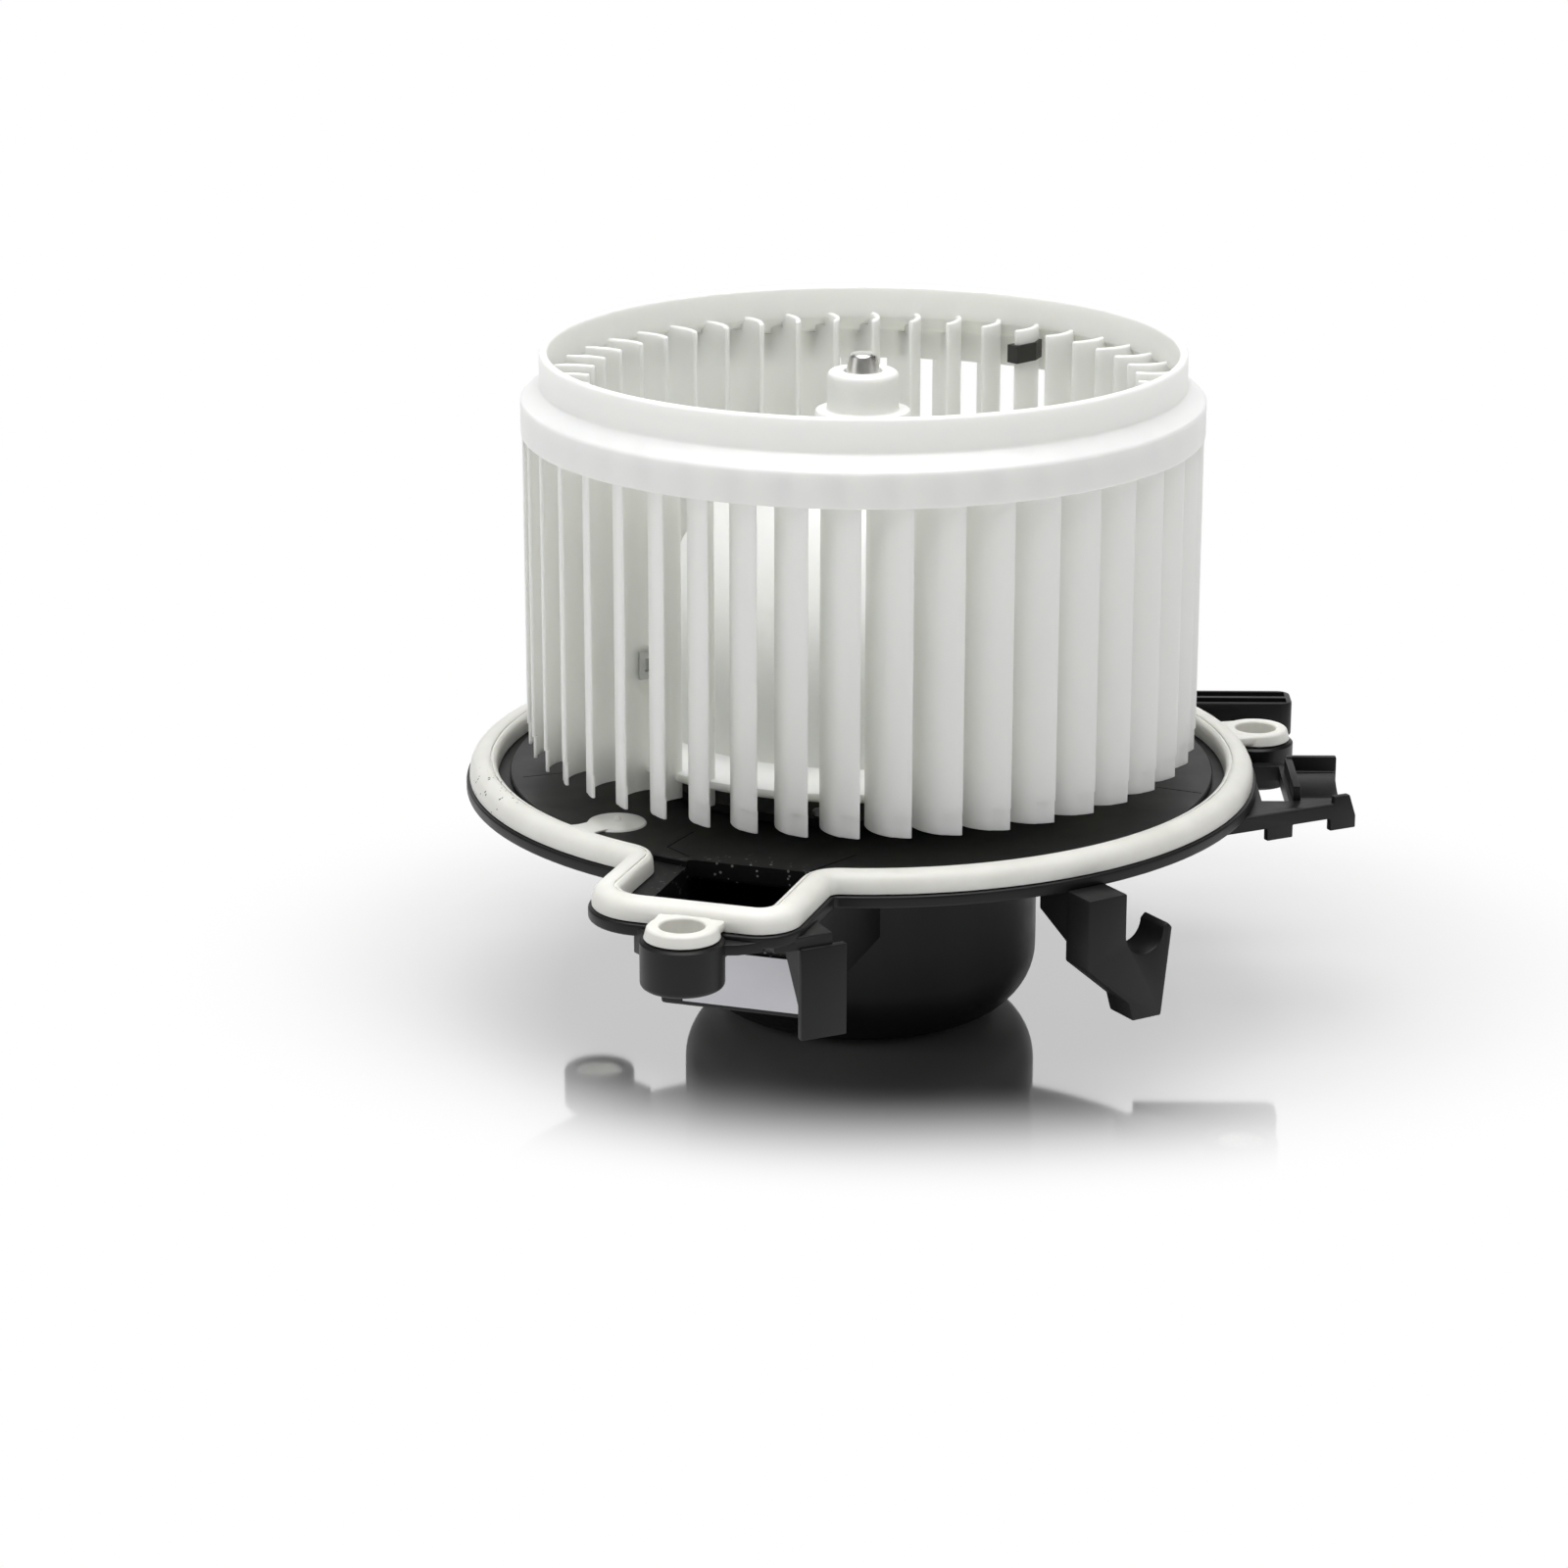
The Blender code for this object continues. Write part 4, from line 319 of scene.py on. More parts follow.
def slab(name, outline, sweep, rounding=0.0, segments=2, sharp=32.0):
    """Fill an outline of points in space, sweep it into a solid and round its sharp edges."""
    piece = drawn(name, outline, closed=True)
    bpy.ops.mesh.extrude_region_move(TRANSFORM_OT_translate={"value": sweep})
    bpy.ops.mesh.select_all(action="SELECT")
    bpy.ops.mesh.normals_make_consistent(inside=False)
    bpy.ops.object.mode_set(mode="OBJECT")
    if rounding:
        bevel = piece.modifiers.new("rounding", "BEVEL")
        bevel.width = rounding
        bevel.segments = segments
        bevel.limit_method = "ANGLE"
        bevel.angle_limit = math.radians(sharp)
        apply_modifiers(piece)
    return piece


def level(points, height):
    """Lift plan points to one height."""
    return [(point[0], point[1], height) for point in points]


def plate(name, outline, low, thick, rounding=0.0, segments=2, sharp=32.0):
    """Fill a plan outline at a height and sweep it up."""
    return slab(name, level(outline, low), (0.0, 0.0, thick), rounding, segments, sharp)


def panel(name, outline, corner, turn, depth, rounding=0.0, segments=2):
    """Stand an outline of (along, height) points on a line from a corner and sweep it to the left."""
    along = polar(1.0, turn)
    points = [(corner[0] + along.x * distance, corner[1] + along.y * distance, height)
              for distance, height in outline]
    return slab(name, points, (*polar(depth, turn + math.pi / 2), 0.0), rounding, segments)


def block(name, low, high, rounding=0.0):
    """A box between two corners, drawn as its floor and swept up."""
    floor = [(low[0], low[1]), (high[0], low[1]), (high[0], high[1]), (low[0], high[1])]
    return plate(name, floor, low[2], high[2] - low[2], rounding)


def strip(angle, start, start_half, end, end_half):
    """The corners of a strip that runs out at an angle, from the reach and half width of its ends."""
    return [placed(start, -start_half, angle), placed(end, -end_half, angle),
            placed(end, end_half, angle), placed(start, start_half, angle)]


def apply_modifiers(piece):
    """Apply all the modifiers of a piece."""
    chosen(piece)
    for modifier in list(piece.modifiers):
        bpy.ops.object.modifier_apply(modifier=modifier.name)


def combined(piece, operation, tools):
    """Join solids to a piece, or cut them out of it, in one pass, and take the tools away."""
    group = bpy.data.collections.new("tools")
    for tool in tools:
        group.objects.link(tool)
    step = piece.modifiers.new("join", "BOOLEAN")
    step.operation = operation
    step.operand_type = "COLLECTION"
    step.collection = group
    step.solver = "EXACT"
    apply_modifiers(piece)
    for tool in tools:
        bpy.data.objects.remove(tool, do_unlink=True)
    bpy.data.collections.remove(group)


def cleaned(piece):
    """Merge the tiny slivers that joining leaves."""
    chosen(piece)
    bpy.ops.object.mode_set(mode="EDIT")
    bpy.ops.mesh.select_all(action="SELECT")
    bpy.ops.mesh.remove_doubles(threshold=MERGE)
    bpy.ops.mesh.dissolve_degenerate(threshold=FINE_MERGE)
    bpy.ops.object.mode_set(mode="OBJECT")


def smoothed(piece, angle=34.0):
    """Shade smooth, but keep edges sharper than an angle."""
    chosen(piece)
    bpy.ops.object.shade_smooth_by_angle(angle=math.radians(angle))


flat = CUP_RADIUS - CUP_CORNER
profile = [(0.0, CUP_FLOOR)]
profile += arc((flat, CUP_CORNER), CUP_CORNER - CUP_FLOOR, -math.pi / 2, 0.0, 8)
profile += [(CUP_INSIDE, DISC_TOP), (DISC_RADIUS - STEP, DISC_TOP), (DISC_RADIUS, DISC_TOP - STEP),
            (DISC_RADIUS, RIM_UNDER)]
profile += arc((CUP_RADIUS + CUP_EDGE_FILLET, RIM_UNDER - CUP_EDGE_FILLET), CUP_EDGE_FILLET,
               math.pi / 2, math.pi, 6)
profile += arc((flat, CUP_CORNER), CUP_CORNER, 0.0, -math.pi / 2, 14)
profile += [(0.0, 0.0)]
carrier = spun("carrier_moulding", profile)

# The rim: a flat band that follows the seal, with rounded outer edges.
rim = plate("rim", rim_route(BEAD_WIDTH / 2 + RIM_MARGIN), RIM_UNDER, RIM_TOP - RIM_UNDER, 0.0006, 3)
inner_edge = arc((0.0, 0.0), DISC_RADIUS - RIM_LAP, 0.0, math.tau, ROUND_STEPS)[:-1]
combined(rim, "DIFFERENCE", [plate("rim_hole", inner_edge, RIM_UNDER - CUT_SPARE, 2 * CUT_SPARE)])

# The cooling-air duct under the pocket: its front slopes up to the pocket's mouth, and its sides are
# trimmed in the middle of the cup's wall.
DUCT_FRONT = 0.0950
DUCT_HALF = 0.0170
DUCT_WALL = 0.0020
DUCT_BOTTOM = 0.0296
DUCT_ROOF = RIM_TOP - 0.0014
MOUTH_FRONT = 0.1065
MOUTH_BACK = 0.0820
MOUTH_SLOPE = 0.0110
CUP_MIDDLE = (CUP_RADIUS + CUP_INSIDE) / 2
CORE_STEPS = 96

start = CUP_RADIUS / 2
outer = [(start, DUCT_BOTTOM), (DUCT_FRONT, DUCT_BOTTOM), (DUCT_FRONT, RIM_UNDER - MOUTH_SLOPE),
         (MOUTH_FRONT + DUCT_WALL, RIM_UNDER - DUCT_WALL / 2), (MOUTH_FRONT + DUCT_WALL, DUCT_ROOF),
         (start, DUCT_ROOF)]
inner = [(start, DUCT_BOTTOM + DUCT_WALL), (DUCT_FRONT - DUCT_WALL, DUCT_BOTTOM + DUCT_WALL),
         (DUCT_FRONT - DUCT_WALL, RIM_UNDER - MOUTH_SLOPE), (MOUTH_FRONT, RIM_UNDER + DUCT_WALL / 2),
         (MOUTH_FRONT, DISC_TOP + DUCT_WALL), (MOUTH_BACK, DISC_TOP + DUCT_WALL),
         (MOUTH_BACK, RIM_UNDER - STEP), (start, RIM_UNDER - STEP)]
duct = panel("duct", outer, placed(0.0, -DUCT_HALF), POCKET_ANGLE, 2 * DUCT_HALF, 0.0008, 3)
duct_hollow = panel("duct_hollow", inner, placed(0.0, DUCT_WALL - DUCT_HALF), POCKET_ANGLE,
                    2 * (DUCT_HALF - DUCT_WALL), 0.0010, 3)
core = cylinder("duct_core", CUP_MIDDLE, CUP_FLOOR, DISC_TOP + 0.003, CORE_STEPS)
combined(duct, "DIFFERENCE", [core])

# Three screw bosses on short necks, bored for the seal's sleeves.
BOSS_RADIUS = 0.0092
BOSS_LOW = 0.0471
BOSS_TOP = 0.0577
BOSS_EDGE = 0.0012
BOSS_BORE = 0.0066
BOSS_CHAMFER = 0.0005
BORE_SPAN = (0.045, 0.060)
BOSS_STEPS = 64
BORE_STEPS = 48
NECK_HALF = 0.0065
NECK_LOW = BOSS_LOW + 0.0036
NECK_THICK = 0.0068
FRONT_REACH = 0.1276
SIDE_REACH = 0.1004
BOSS_PLACES = [
    (polar(FRONT_REACH, POCKET_ANGLE), POCKET_ANGLE, POCKET_FRONT),
    (polar(SIDE_REACH, math.radians(15.6)), math.radians(15.6), BEAD_RADIUS),
    (polar(SIDE_REACH, math.radians(133.0)), math.radians(133.0), BEAD_RADIUS),
]

bosses = []
bores = []
for number, (centre, angle, seal_line) in enumerate(BOSS_PLACES):
    boss_profile = [(0.0, BOSS_TOP), (BOSS_RADIUS - BOSS_CHAMFER, BOSS_TOP),
                    (BOSS_RADIUS, BOSS_TOP - BOSS_CHAMFER)]
    boss_profile += arc((BOSS_RADIUS - BOSS_EDGE, BOSS_LOW + BOSS_EDGE), BOSS_EDGE, 0.0, -math.pi / 2, 4)
    boss_profile += [(0.0, BOSS_LOW)]
    bosses.append(spun(f"boss_{number}", boss_profile, BOSS_STEPS, centre))
    neck = strip(angle, seal_line - BEAD_WIDTH / 2, NECK_HALF, centre.length, NECK_HALF)
    bosses.append(plate(f"neck_{number}", neck, NECK_LOW, NECK_THICK, 0.0005))
    bores.append(cylinder(f"bore_{number}", BOSS_BORE, *BORE_SPAN, BORE_STEPS, centre))

# The front boss is held by a web on its left and a wedge on its right. Each has its name, its lower
# side, its thickness, and its corners in millimetres along the pocket's direction and across it.
BRACES = [
    ("boss_web", BOSS_LOW + 0.0040, 0.0060, [(119.5, -5.4), (119.5, -13.6), (121.9, -13.2), (123.2, -11.4),
                                             (124.9, -10.0), (126.9, -8.0), (126.9, -5.4)]),
    ("boss_wedge", BOSS_TOP - 0.0034, 0.0025, [(119.5, 5.4), (126.7, 5.4), (126.7, 7.6), (125.2, 11.8),
                                               (121.8, 16.2), (119.5, 16.2)]),
]
braces = [plate(name, [placed(out / 1000, across / 1000) for out, across in shape], low, thick, 0.0004)
          for name, low, thick, shape in BRACES]

# The clip plate beside the pocket, hung from a small shelf and stiffened by a curved gusset.
TAB_CORNER = Vector((-0.0125, -0.1180))
TAB_TURN = math.radians(27.0)
TAB_WIDTH = 0.0110
TAB_WALL = 0.0020
TAB_TOP = 0.0539
TAB_LOW = 0.0329
SHELF_LEFT = 0.0060
SHELF_RIGHT = 0.0080
GUSSET_LENGTH = 0.0115
SHELF_LOW = RIM_UNDER - 0.0016
SHELF_THICK = 0.0030
GUSSET_STEPS = 12

outline = [(0.0, TAB_LOW), (TAB_WIDTH, TAB_LOW), (TAB_WIDTH, TAB_TOP), (0.0, TAB_TOP)]
tab_plate = panel("tab_plate", outline, TAB_CORNER, TAB_TURN, TAB_WALL, 0.0004)
setback = polar(TAB_WALL / 2, TAB_TURN + math.pi / 2)
shelf_end = TAB_CORNER + polar(SHELF_RIGHT, TAB_TURN) + setback
shelf = [TAB_CORNER - polar(SHELF_LEFT, TAB_TURN) + setback, shelf_end,
         shelf_end + polar(SHELF_LEFT, TAB_TURN + math.pi / 2), placed(DUCT_FRONT, POCKET_RIGHT),
         placed(POCKET_FRONT - RIGHT_CORNER, POCKET_RIGHT - RIGHT_CORNER)]
tab_shelf = plate("tab_shelf", shelf, SHELF_LOW, SHELF_THICK, 0.0003)
gusset = [(TAB_WALL / 2, TAB_LOW + TAB_WALL), (TAB_WALL / 2, TAB_TOP + STEP),
          (GUSSET_LENGTH, TAB_TOP + STEP)]
drop = TAB_TOP - TAB_LOW - 2 * TAB_WALL
for step in range(1, GUSSET_STEPS):
    angle = math.pi / 2 * step / GUSSET_STEPS
    gusset.append((TAB_WALL / 2 + (GUSSET_LENGTH - TAB_WALL / 2) * math.cos(angle),
                   TAB_TOP - TAB_WALL - drop * (1 - math.cos(angle))))
tab_gusset = panel("tab_gusset", gusset, TAB_CORNER + polar(1.5 * TAB_WALL, TAB_TURN),
                   TAB_TURN + math.pi / 2, TAB_WALL, 0.0003)

# The lead hook: an arm from under the rim, and a deep plate with a round notch and a horn.
HOOK_CORNER = Vector((0.0506, -0.0897))
HOOK_TURN = math.radians(32.0)
HOOK_DEPTH = 0.0091
HOOK_ARM = 0.0102
NOTCH_RADIUS = 0.0050
HOOK_HORN = 0.0025
HOOK_FOOT = 0.0250
HOOK_FOOT_WIDTH = 0.0077
HOOK_FOOT_HEIGHT = 0.0045
HOOK_ARM_LENGTH = 0.0200
NOTCH_HEIGHT = 0.0456
HOOK_TOP = 0.0555
HOOK_SHOULDER = 0.0391
ARM_LOW = 0.0481
ARM_DROP = 0.0090

notch_right = HOOK_ARM + 2 * NOTCH_RADIUS
foot_left = notch_right - HOOK_FOOT_WIDTH
hook = [(0.0, HOOK_SHOULDER), (foot_left - HOOK_HORN / 2, HOOK_FOOT + HOOK_FOOT_HEIGHT),
        (foot_left, HOOK_FOOT), (notch_right, HOOK_FOOT), (notch_right + HOOK_HORN, NOTCH_HEIGHT),
        (notch_right + HOOK_HORN / 2, NOTCH_HEIGHT + HOOK_HORN / 2)]
hook += arc((HOOK_ARM + NOTCH_RADIUS, NOTCH_HEIGHT), NOTCH_RADIUS, 0.0, -math.pi, 20)
hook += [(HOOK_ARM, HOOK_TOP), (0.0, HOOK_TOP)]
hook_plate = panel("hook_plate", hook, HOOK_CORNER, HOOK_TURN, HOOK_DEPTH, 0.0004)
arm_length = HOOK_ARM_LENGTH - HOOK_DEPTH / 2
arm_end = ARM_LOW - ARM_DROP / HOOK_ARM_LENGTH * arm_length
arm_top = HOOK_TOP - STEP / 3
arm = [(0.0, ARM_LOW), (arm_length, arm_end), (arm_length, arm_top), (0.0, arm_top)]
arm_root = HOOK_CORNER + polar(HOOK_ARM_LENGTH, HOOK_TURN + math.pi / 2) + polar(STEP, HOOK_TURN)
hook_arm = panel("hook_arm", arm, arm_root, HOOK_TURN - math.pi / 2, HOOK_ARM - 2 * STEP, 0.0003)

# The right bracket: a deck with a window, a trough for the lead between walls, and a front wall on legs.
BRACKET_CORNER = Vector((0.0848, -0.0321))
BRACKET_TURN = math.radians(27.0)
BRACKET_LENGTH = 0.0300
BRACKET_THICK = 0.0038
BRACKET_WALL = 0.0018
WALL_RISE = 0.0035
WINDOW_LOW = (0.0948, -0.0150, 0.045)
WINDOW_HIGH = (0.1012, 0.0120, 0.063)
TROUGH_X = (0.1040, 0.1128)
TROUGH_Y = (-0.0130, 0.0080)
TROUGH_DEPTH = 0.0032
LEG_STARTS = (0.0118, 0.0292)
LEG_WIDTH = 0.0070
LEG_LENGTH = 0.0027
LIP_RISE = 0.0018
LIP_LENGTH = 0.0060
DECK_TOP = 0.0555

bracket_right = BRACKET_CORNER + polar(BRACKET_LENGTH, BRACKET_TURN)
inwards = polar(BRACKET_WALL / 2, BRACKET_TURN + math.pi / 2)
deck_low = DECK_TOP - BRACKET_THICK
wall_top = DECK_TOP + WALL_RISE
outer_x = TROUGH_X[1] + BRACKET_WALL
under_seal = BEAD_RADIUS - BEAD_WIDTH / 2
deck = [BRACKET_CORNER - polar(BRACKET_THICK, BRACKET_TURN) + inwards, bracket_right + inwards,
        (outer_x - STEP, bracket_right.y + BRACKET_THICK), (outer_x - STEP, TROUGH_Y[1] + BRACKET_WALL / 2),
        (WINDOW_HIGH[0], WINDOW_HIGH[1] + BRACKET_THICK), (under_seal, WINDOW_HIGH[1] + BRACKET_THICK),
        (under_seal, BRACKET_CORNER.y + 2 * BRACKET_THICK)]
bracket_deck = plate("bracket_deck", deck, deck_low, BRACKET_THICK - STEP, 0.0003)
front = [(0.0, deck_low + STEP)]
for leg in LEG_STARTS:
    front += [(leg, deck_low + STEP), (leg, deck_low - LEG_LENGTH),
              (leg + LEG_WIDTH, deck_low - LEG_LENGTH), (leg + LEG_WIDTH, deck_low + STEP)]
front_end = LEG_STARTS[1] + LEG_WIDTH
front += [(front_end - LIP_RISE, DECK_TOP + LIP_RISE), (front_end - LIP_LENGTH, DECK_TOP + LIP_RISE),
          (front_end - LIP_LENGTH, DECK_TOP), (0.0, DECK_TOP)]
bracket_front = panel("bracket_front", front, BRACKET_CORNER, BRACKET_TURN, BRACKET_WALL, 0.0003)
rib_x = TROUGH_X[0] - BRACKET_WALL
back_y = TROUGH_Y[1] + BRACKET_WALL
bracket_rib = block("bracket_rib", (rib_x, bracket_right.y + BRACKET_THICK, deck_low + STEP),
                    (TROUGH_X[0], back_y - BRACKET_WALL / 2, wall_top - STEP), 0.0003)
bracket_back = block("bracket_back", (rib_x + STEP, TROUGH_Y[1] - STEP, deck_low + STEP),
                     (outer_x, back_y, wall_top), 0.0003)
bracket_window = block("bracket_window", WINDOW_LOW, WINDOW_HIGH)
half = (TROUGH_Y[1] - TROUGH_Y[0]) / 2
trough_radius = (half ** 2 + TROUGH_DEPTH ** 2) / (2 * TROUGH_DEPTH)
swing = math.asin(half / trough_radius)
trough = arc((0.0, DECK_TOP - TROUGH_DEPTH + trough_radius), trough_radius, -math.pi / 2 - swing,
             -math.pi / 2 + swing, 20)
trough += [Vector((half, wall_top + STEP)), Vector((-half, wall_top + STEP))]
bracket_trough = panel("bracket_trough", trough, (TROUGH_X[0], (TROUGH_Y[0] + TROUGH_Y[1]) / 2),
                       -math.pi / 2, TROUGH_X[1] - TROUGH_X[0] + BRACKET_THICK)

# The lead channel behind the right boss: a bar with a blunt end, two long slots and a foot.
CHANNEL_RIGHT = 0.1080
CHANNEL_FRONT = 0.0500
CHANNEL_WIDTH = 0.0120
CHANNEL_WALL = 0.0014
CHANNEL_ROUND = 0.0030
CHANNEL_TOP = 0.0599
CHANNEL_LOW = 0.0513
SLOT_DEPTH = 0.0045
SLOT_SPARE = 0.0015
FOOT_ANGLE = math.radians(33.0)
FOOT_HALF = 0.0080
FOOT_LOW = CHANNEL_LOW + 0.0004
FOOT_THICK = 0.0058

channel_back = CHANNEL_FRONT + CHANNEL_WIDTH
rim_edge = BEAD_RADIUS + BEAD_WIDTH / 2 + RIM_MARGIN
round_x = CHANNEL_RIGHT - CHANNEL_ROUND
bar = [(math.sqrt(rim_edge ** 2 - CHANNEL_FRONT ** 2), CHANNEL_FRONT)]
bar += arc((round_x, CHANNEL_FRONT + CHANNEL_ROUND), CHANNEL_ROUND, -math.pi / 2, 0.0, 5)
bar += arc((round_x, channel_back - CHANNEL_ROUND), CHANNEL_ROUND, 0.0, math.pi / 2, 5)
bar += [(math.sqrt(rim_edge ** 2 - channel_back ** 2), channel_back)]
channel_bar = plate("channel_bar", bar, CHANNEL_LOW, CHANNEL_TOP - CHANNEL_LOW, 0.0004)
foot = strip(FOOT_ANGLE, DISC_RADIUS, FOOT_HALF, SIDE_REACH, FOOT_HALF)
channel_foot = plate("channel_foot", foot, FOOT_LOW, FOOT_THICK, 0.0003)
slots = []
slot_width = (CHANNEL_WIDTH - 3 * CHANNEL_WALL) / 2
for number in range(2):
    near = CHANNEL_FRONT + CHANNEL_WALL + number * (slot_width + CHANNEL_WALL)
    slots.append(block(f"channel_slot_{number}", (bar[0][0] + CHANNEL_WALL, near, CHANNEL_TOP - SLOT_DEPTH),
                       (CHANNEL_RIGHT - CHANNEL_WALL, near + slot_width, CHANNEL_TOP + SLOT_SPARE), 0.0003))

# The plug socket at the back of the cup, with slots for its two terminals.
SOCKET_HALF = 0.0107
SOCKET_LOW = 0.0119
SOCKET_HIGH = 0.0259
SOCKET_REACH = 0.0580
SOCKET_WALL = 0.0018
SOCKET_FLOOR = 0.0455
TERMINAL_MIDDLE = 0.0189
CORE_TOP = 0.045
TERMINAL_APART = 0.0045
TERMINAL_HALF = 0.0027
TERMINAL_THIN = 0.0007

socket = block("socket", (-SOCKET_HALF, CUP_RADIUS / 2, SOCKET_LOW),
               (SOCKET_HALF, SOCKET_REACH, SOCKET_HIGH), 0.0008)
combined(socket, "DIFFERENCE", [cylinder("socket_core", CUP_MIDDLE, CUP_FLOOR, CORE_TOP, CORE_STEPS)])
socket_hollow = block("socket_hollow", (SOCKET_WALL - SOCKET_HALF, SOCKET_FLOOR, SOCKET_LOW + SOCKET_WALL),
                      (SOCKET_HALF - SOCKET_WALL, SOCKET_REACH + 0.002, SOCKET_HIGH - SOCKET_WALL), 0.0005)
terminal_slots = [
    block(f"terminal_slot_{side}",
          (side * TERMINAL_APART - TERMINAL_HALF, CUP_RADIUS / 2, TERMINAL_MIDDLE - TERMINAL_THIN),
          (side * TERMINAL_APART + TERMINAL_HALF, SOCKET_FLOOR + 0.001, TERMINAL_MIDDLE + TERMINAL_THIN))
    for side in (-1, 1)]

combined(carrier, "UNION", [rim, duct, *bosses, *braces, tab_shelf, tab_plate, tab_gusset, hook_arm,
                            hook_plate, bracket_deck, bracket_front, bracket_rib, bracket_back,
                            channel_bar, channel_foot, socket])
cleaned(carrier)
combined(carrier, "DIFFERENCE", [duct_hollow, *bores, bracket_window, bracket_trough, *slots, socket_hollow,
                                 *terminal_slots])
cleaned(carrier)

# Fine seams in the disc, where the mould's inserts met.
SEAM_HALF = 0.00018
SEAM_DEPTH = 0.00040
SEAMS = [[(-38.5, -71.6), (-43.6, -65.1), (-38.3, -54.3)], [(-11.2, -81.6), (-1.1, -70.1)],
         [(-80.0, -13.1), (-65.3, -7.5)], [(60.5, -16.9), (69.6, -18.3), (79.7, -22.7)]]
SEAM_CUT = 0.002

seams = []
for line in SEAMS:
    for first, last in zip(line, line[1:]):
        start = Vector(first) / 1000
        end = Vector(last) / 1000
        along = (end - start).normalized()
        side = Vector((-along.y, along.x)) * SEAM_HALF
        start = start - along * SEAM_HALF
        end = end + along * SEAM_HALF
        seams.append(plate("seam", [start - side, end - side, end + side, start + side],
                           DISC_TOP - SEAM_DEPTH, SEAM_CUT))
combined(carrier, "DIFFERENCE", seams)
smoothed(carrier)
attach(carrier, "housing")
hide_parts("motor_carrier")

# Its plastic: near-black, with a fine moulded grain, slightly uneven gloss and a little pale dust
# that has settled in the pocket.
DUST_PLACE = (-0.027, -0.088, 0.055)
DUST_REACH = 0.022
FADE_FROM = 0.4
BUMP_DEPTH = 0.00005


def shader_group(name, inputs, outputs):
    """Start a node group with named value inputs and outputs."""
    group = bpy.data.node_groups.new(name, "ShaderNodeTree")
    for label, default in inputs:
        socket = group.interface.new_socket(name=label, in_out="INPUT", socket_type="NodeSocketFloat")
        socket.default_value = default
    for label in outputs:
        group.interface.new_socket(name=label, in_out="OUTPUT", socket_type="NodeSocketFloat")
    entry = group.nodes.new("NodeGroupInput")
    entry.location = (-900, 0)
    leave = group.nodes.new("NodeGroupOutput")
    leave.location = (700, 0)
    return group, entry, leave


# Moulded grain: a fine bump height, and a slow mottle that varies the gloss.
grain, entry, leave = shader_group("moulded_grain", [("Grain Scale", 2500.0), ("Mottle Scale", 60.0)],
                                   ["Height", "Mottle"])
place = node_of(grain, "ShaderNodeTexCoord", (-900, -250))
fine = node_of(grain, "ShaderNodeTexNoise", (-500, 100), Detail=2.0)
slow = node_of(grain, "ShaderNodeTexNoise", (-500, -200), Detail=4.0, Roughness=0.6)
spread = node_of(grain, "ShaderNodeMapRange", (-200, -200), From_Min=0.30, From_Max=0.70)
wired(grain, (place, "Object", fine, "Vector"), (place, "Object", slow, "Vector"),
      (entry, "Grain Scale", fine, "Scale"), (entry, "Mottle Scale", slow, "Scale"),
      (slow, "Fac", spread, "Value"), (fine, "Fac", leave, "Height"), (spread, "Result", leave, "Mottle"))

# Specks: small round spots scattered through space, more or fewer of them by their share.
specks, entry, leave = shader_group("specks", [("Scale", 600.0), ("Size", 0.16), ("Share", 0.25)], ["Mask"])
place = node_of(specks, "ShaderNodeTexCoord", (-900, -250))
cells = node_of(specks, "ShaderNodeTexVoronoi", (-600, 0))
spot = node_of(specks, "ShaderNodeMath", (-300, 100), operation="LESS_THAN")
chance = node_of(specks, "ShaderNodeMath", (-300, -150), operation="LESS_THAN")
both = node_of(specks, "ShaderNodeMath", (100, 0), operation="MULTIPLY")
wired(specks, (place, "Object", cells, "Vector"), (entry, "Scale", cells, "Scale"),
      (cells, "Distance", spot, 0), (entry, "Size", spot, 1), (cells, "Color", chance, 0),
      (entry, "Share", chance, 1), (spot, 0, both, 0), (chance, 0, both, 1), (both, 0, leave, "Mask"))


def finish(name, dark, light, smooth, rough, grain_scale=2500.0, mottle_scale=60.0, bump=0.05,
           **shader_values):
    """A material whose colour and gloss vary with the slow mottle, and whose bump is the fine grain."""
    made, tree, output = blank_material(name)
    grained = node_of(tree, "ShaderNodeGroup", (-700, 0), node_tree=grain, Grain_Scale=grain_scale,
                      Mottle_Scale=mottle_scale)
    colour = node_of(tree, "ShaderNodeMix", (-200, 200), data_type="RGBA")
    colour.inputs[6].default_value = (*dark, 1.0)
    colour.inputs[7].default_value = (*light, 1.0)
    gloss = node_of(tree, "ShaderNodeMapRange", (-200, -50), To_Min=smooth, To_Max=rough)
    relief = node_of(tree, "ShaderNodeBump", (-200, -300), Strength=bump, Distance=BUMP_DEPTH)
    shader = node_of(tree, "ShaderNodeBsdfPrincipled", (300, 0), **shader_values)
    wired(tree, (grained, "Mottle", colour, "Factor"), (grained, "Mottle", gloss, "Value"),
          (grained, "Height", relief, "Height"), (colour, 2, shader, "Base Color"),
          (gloss, "Result", shader, "Roughness"), (relief, "Normal", shader, "Normal"),
          (shader, 0, output, "Surface"))
    return made


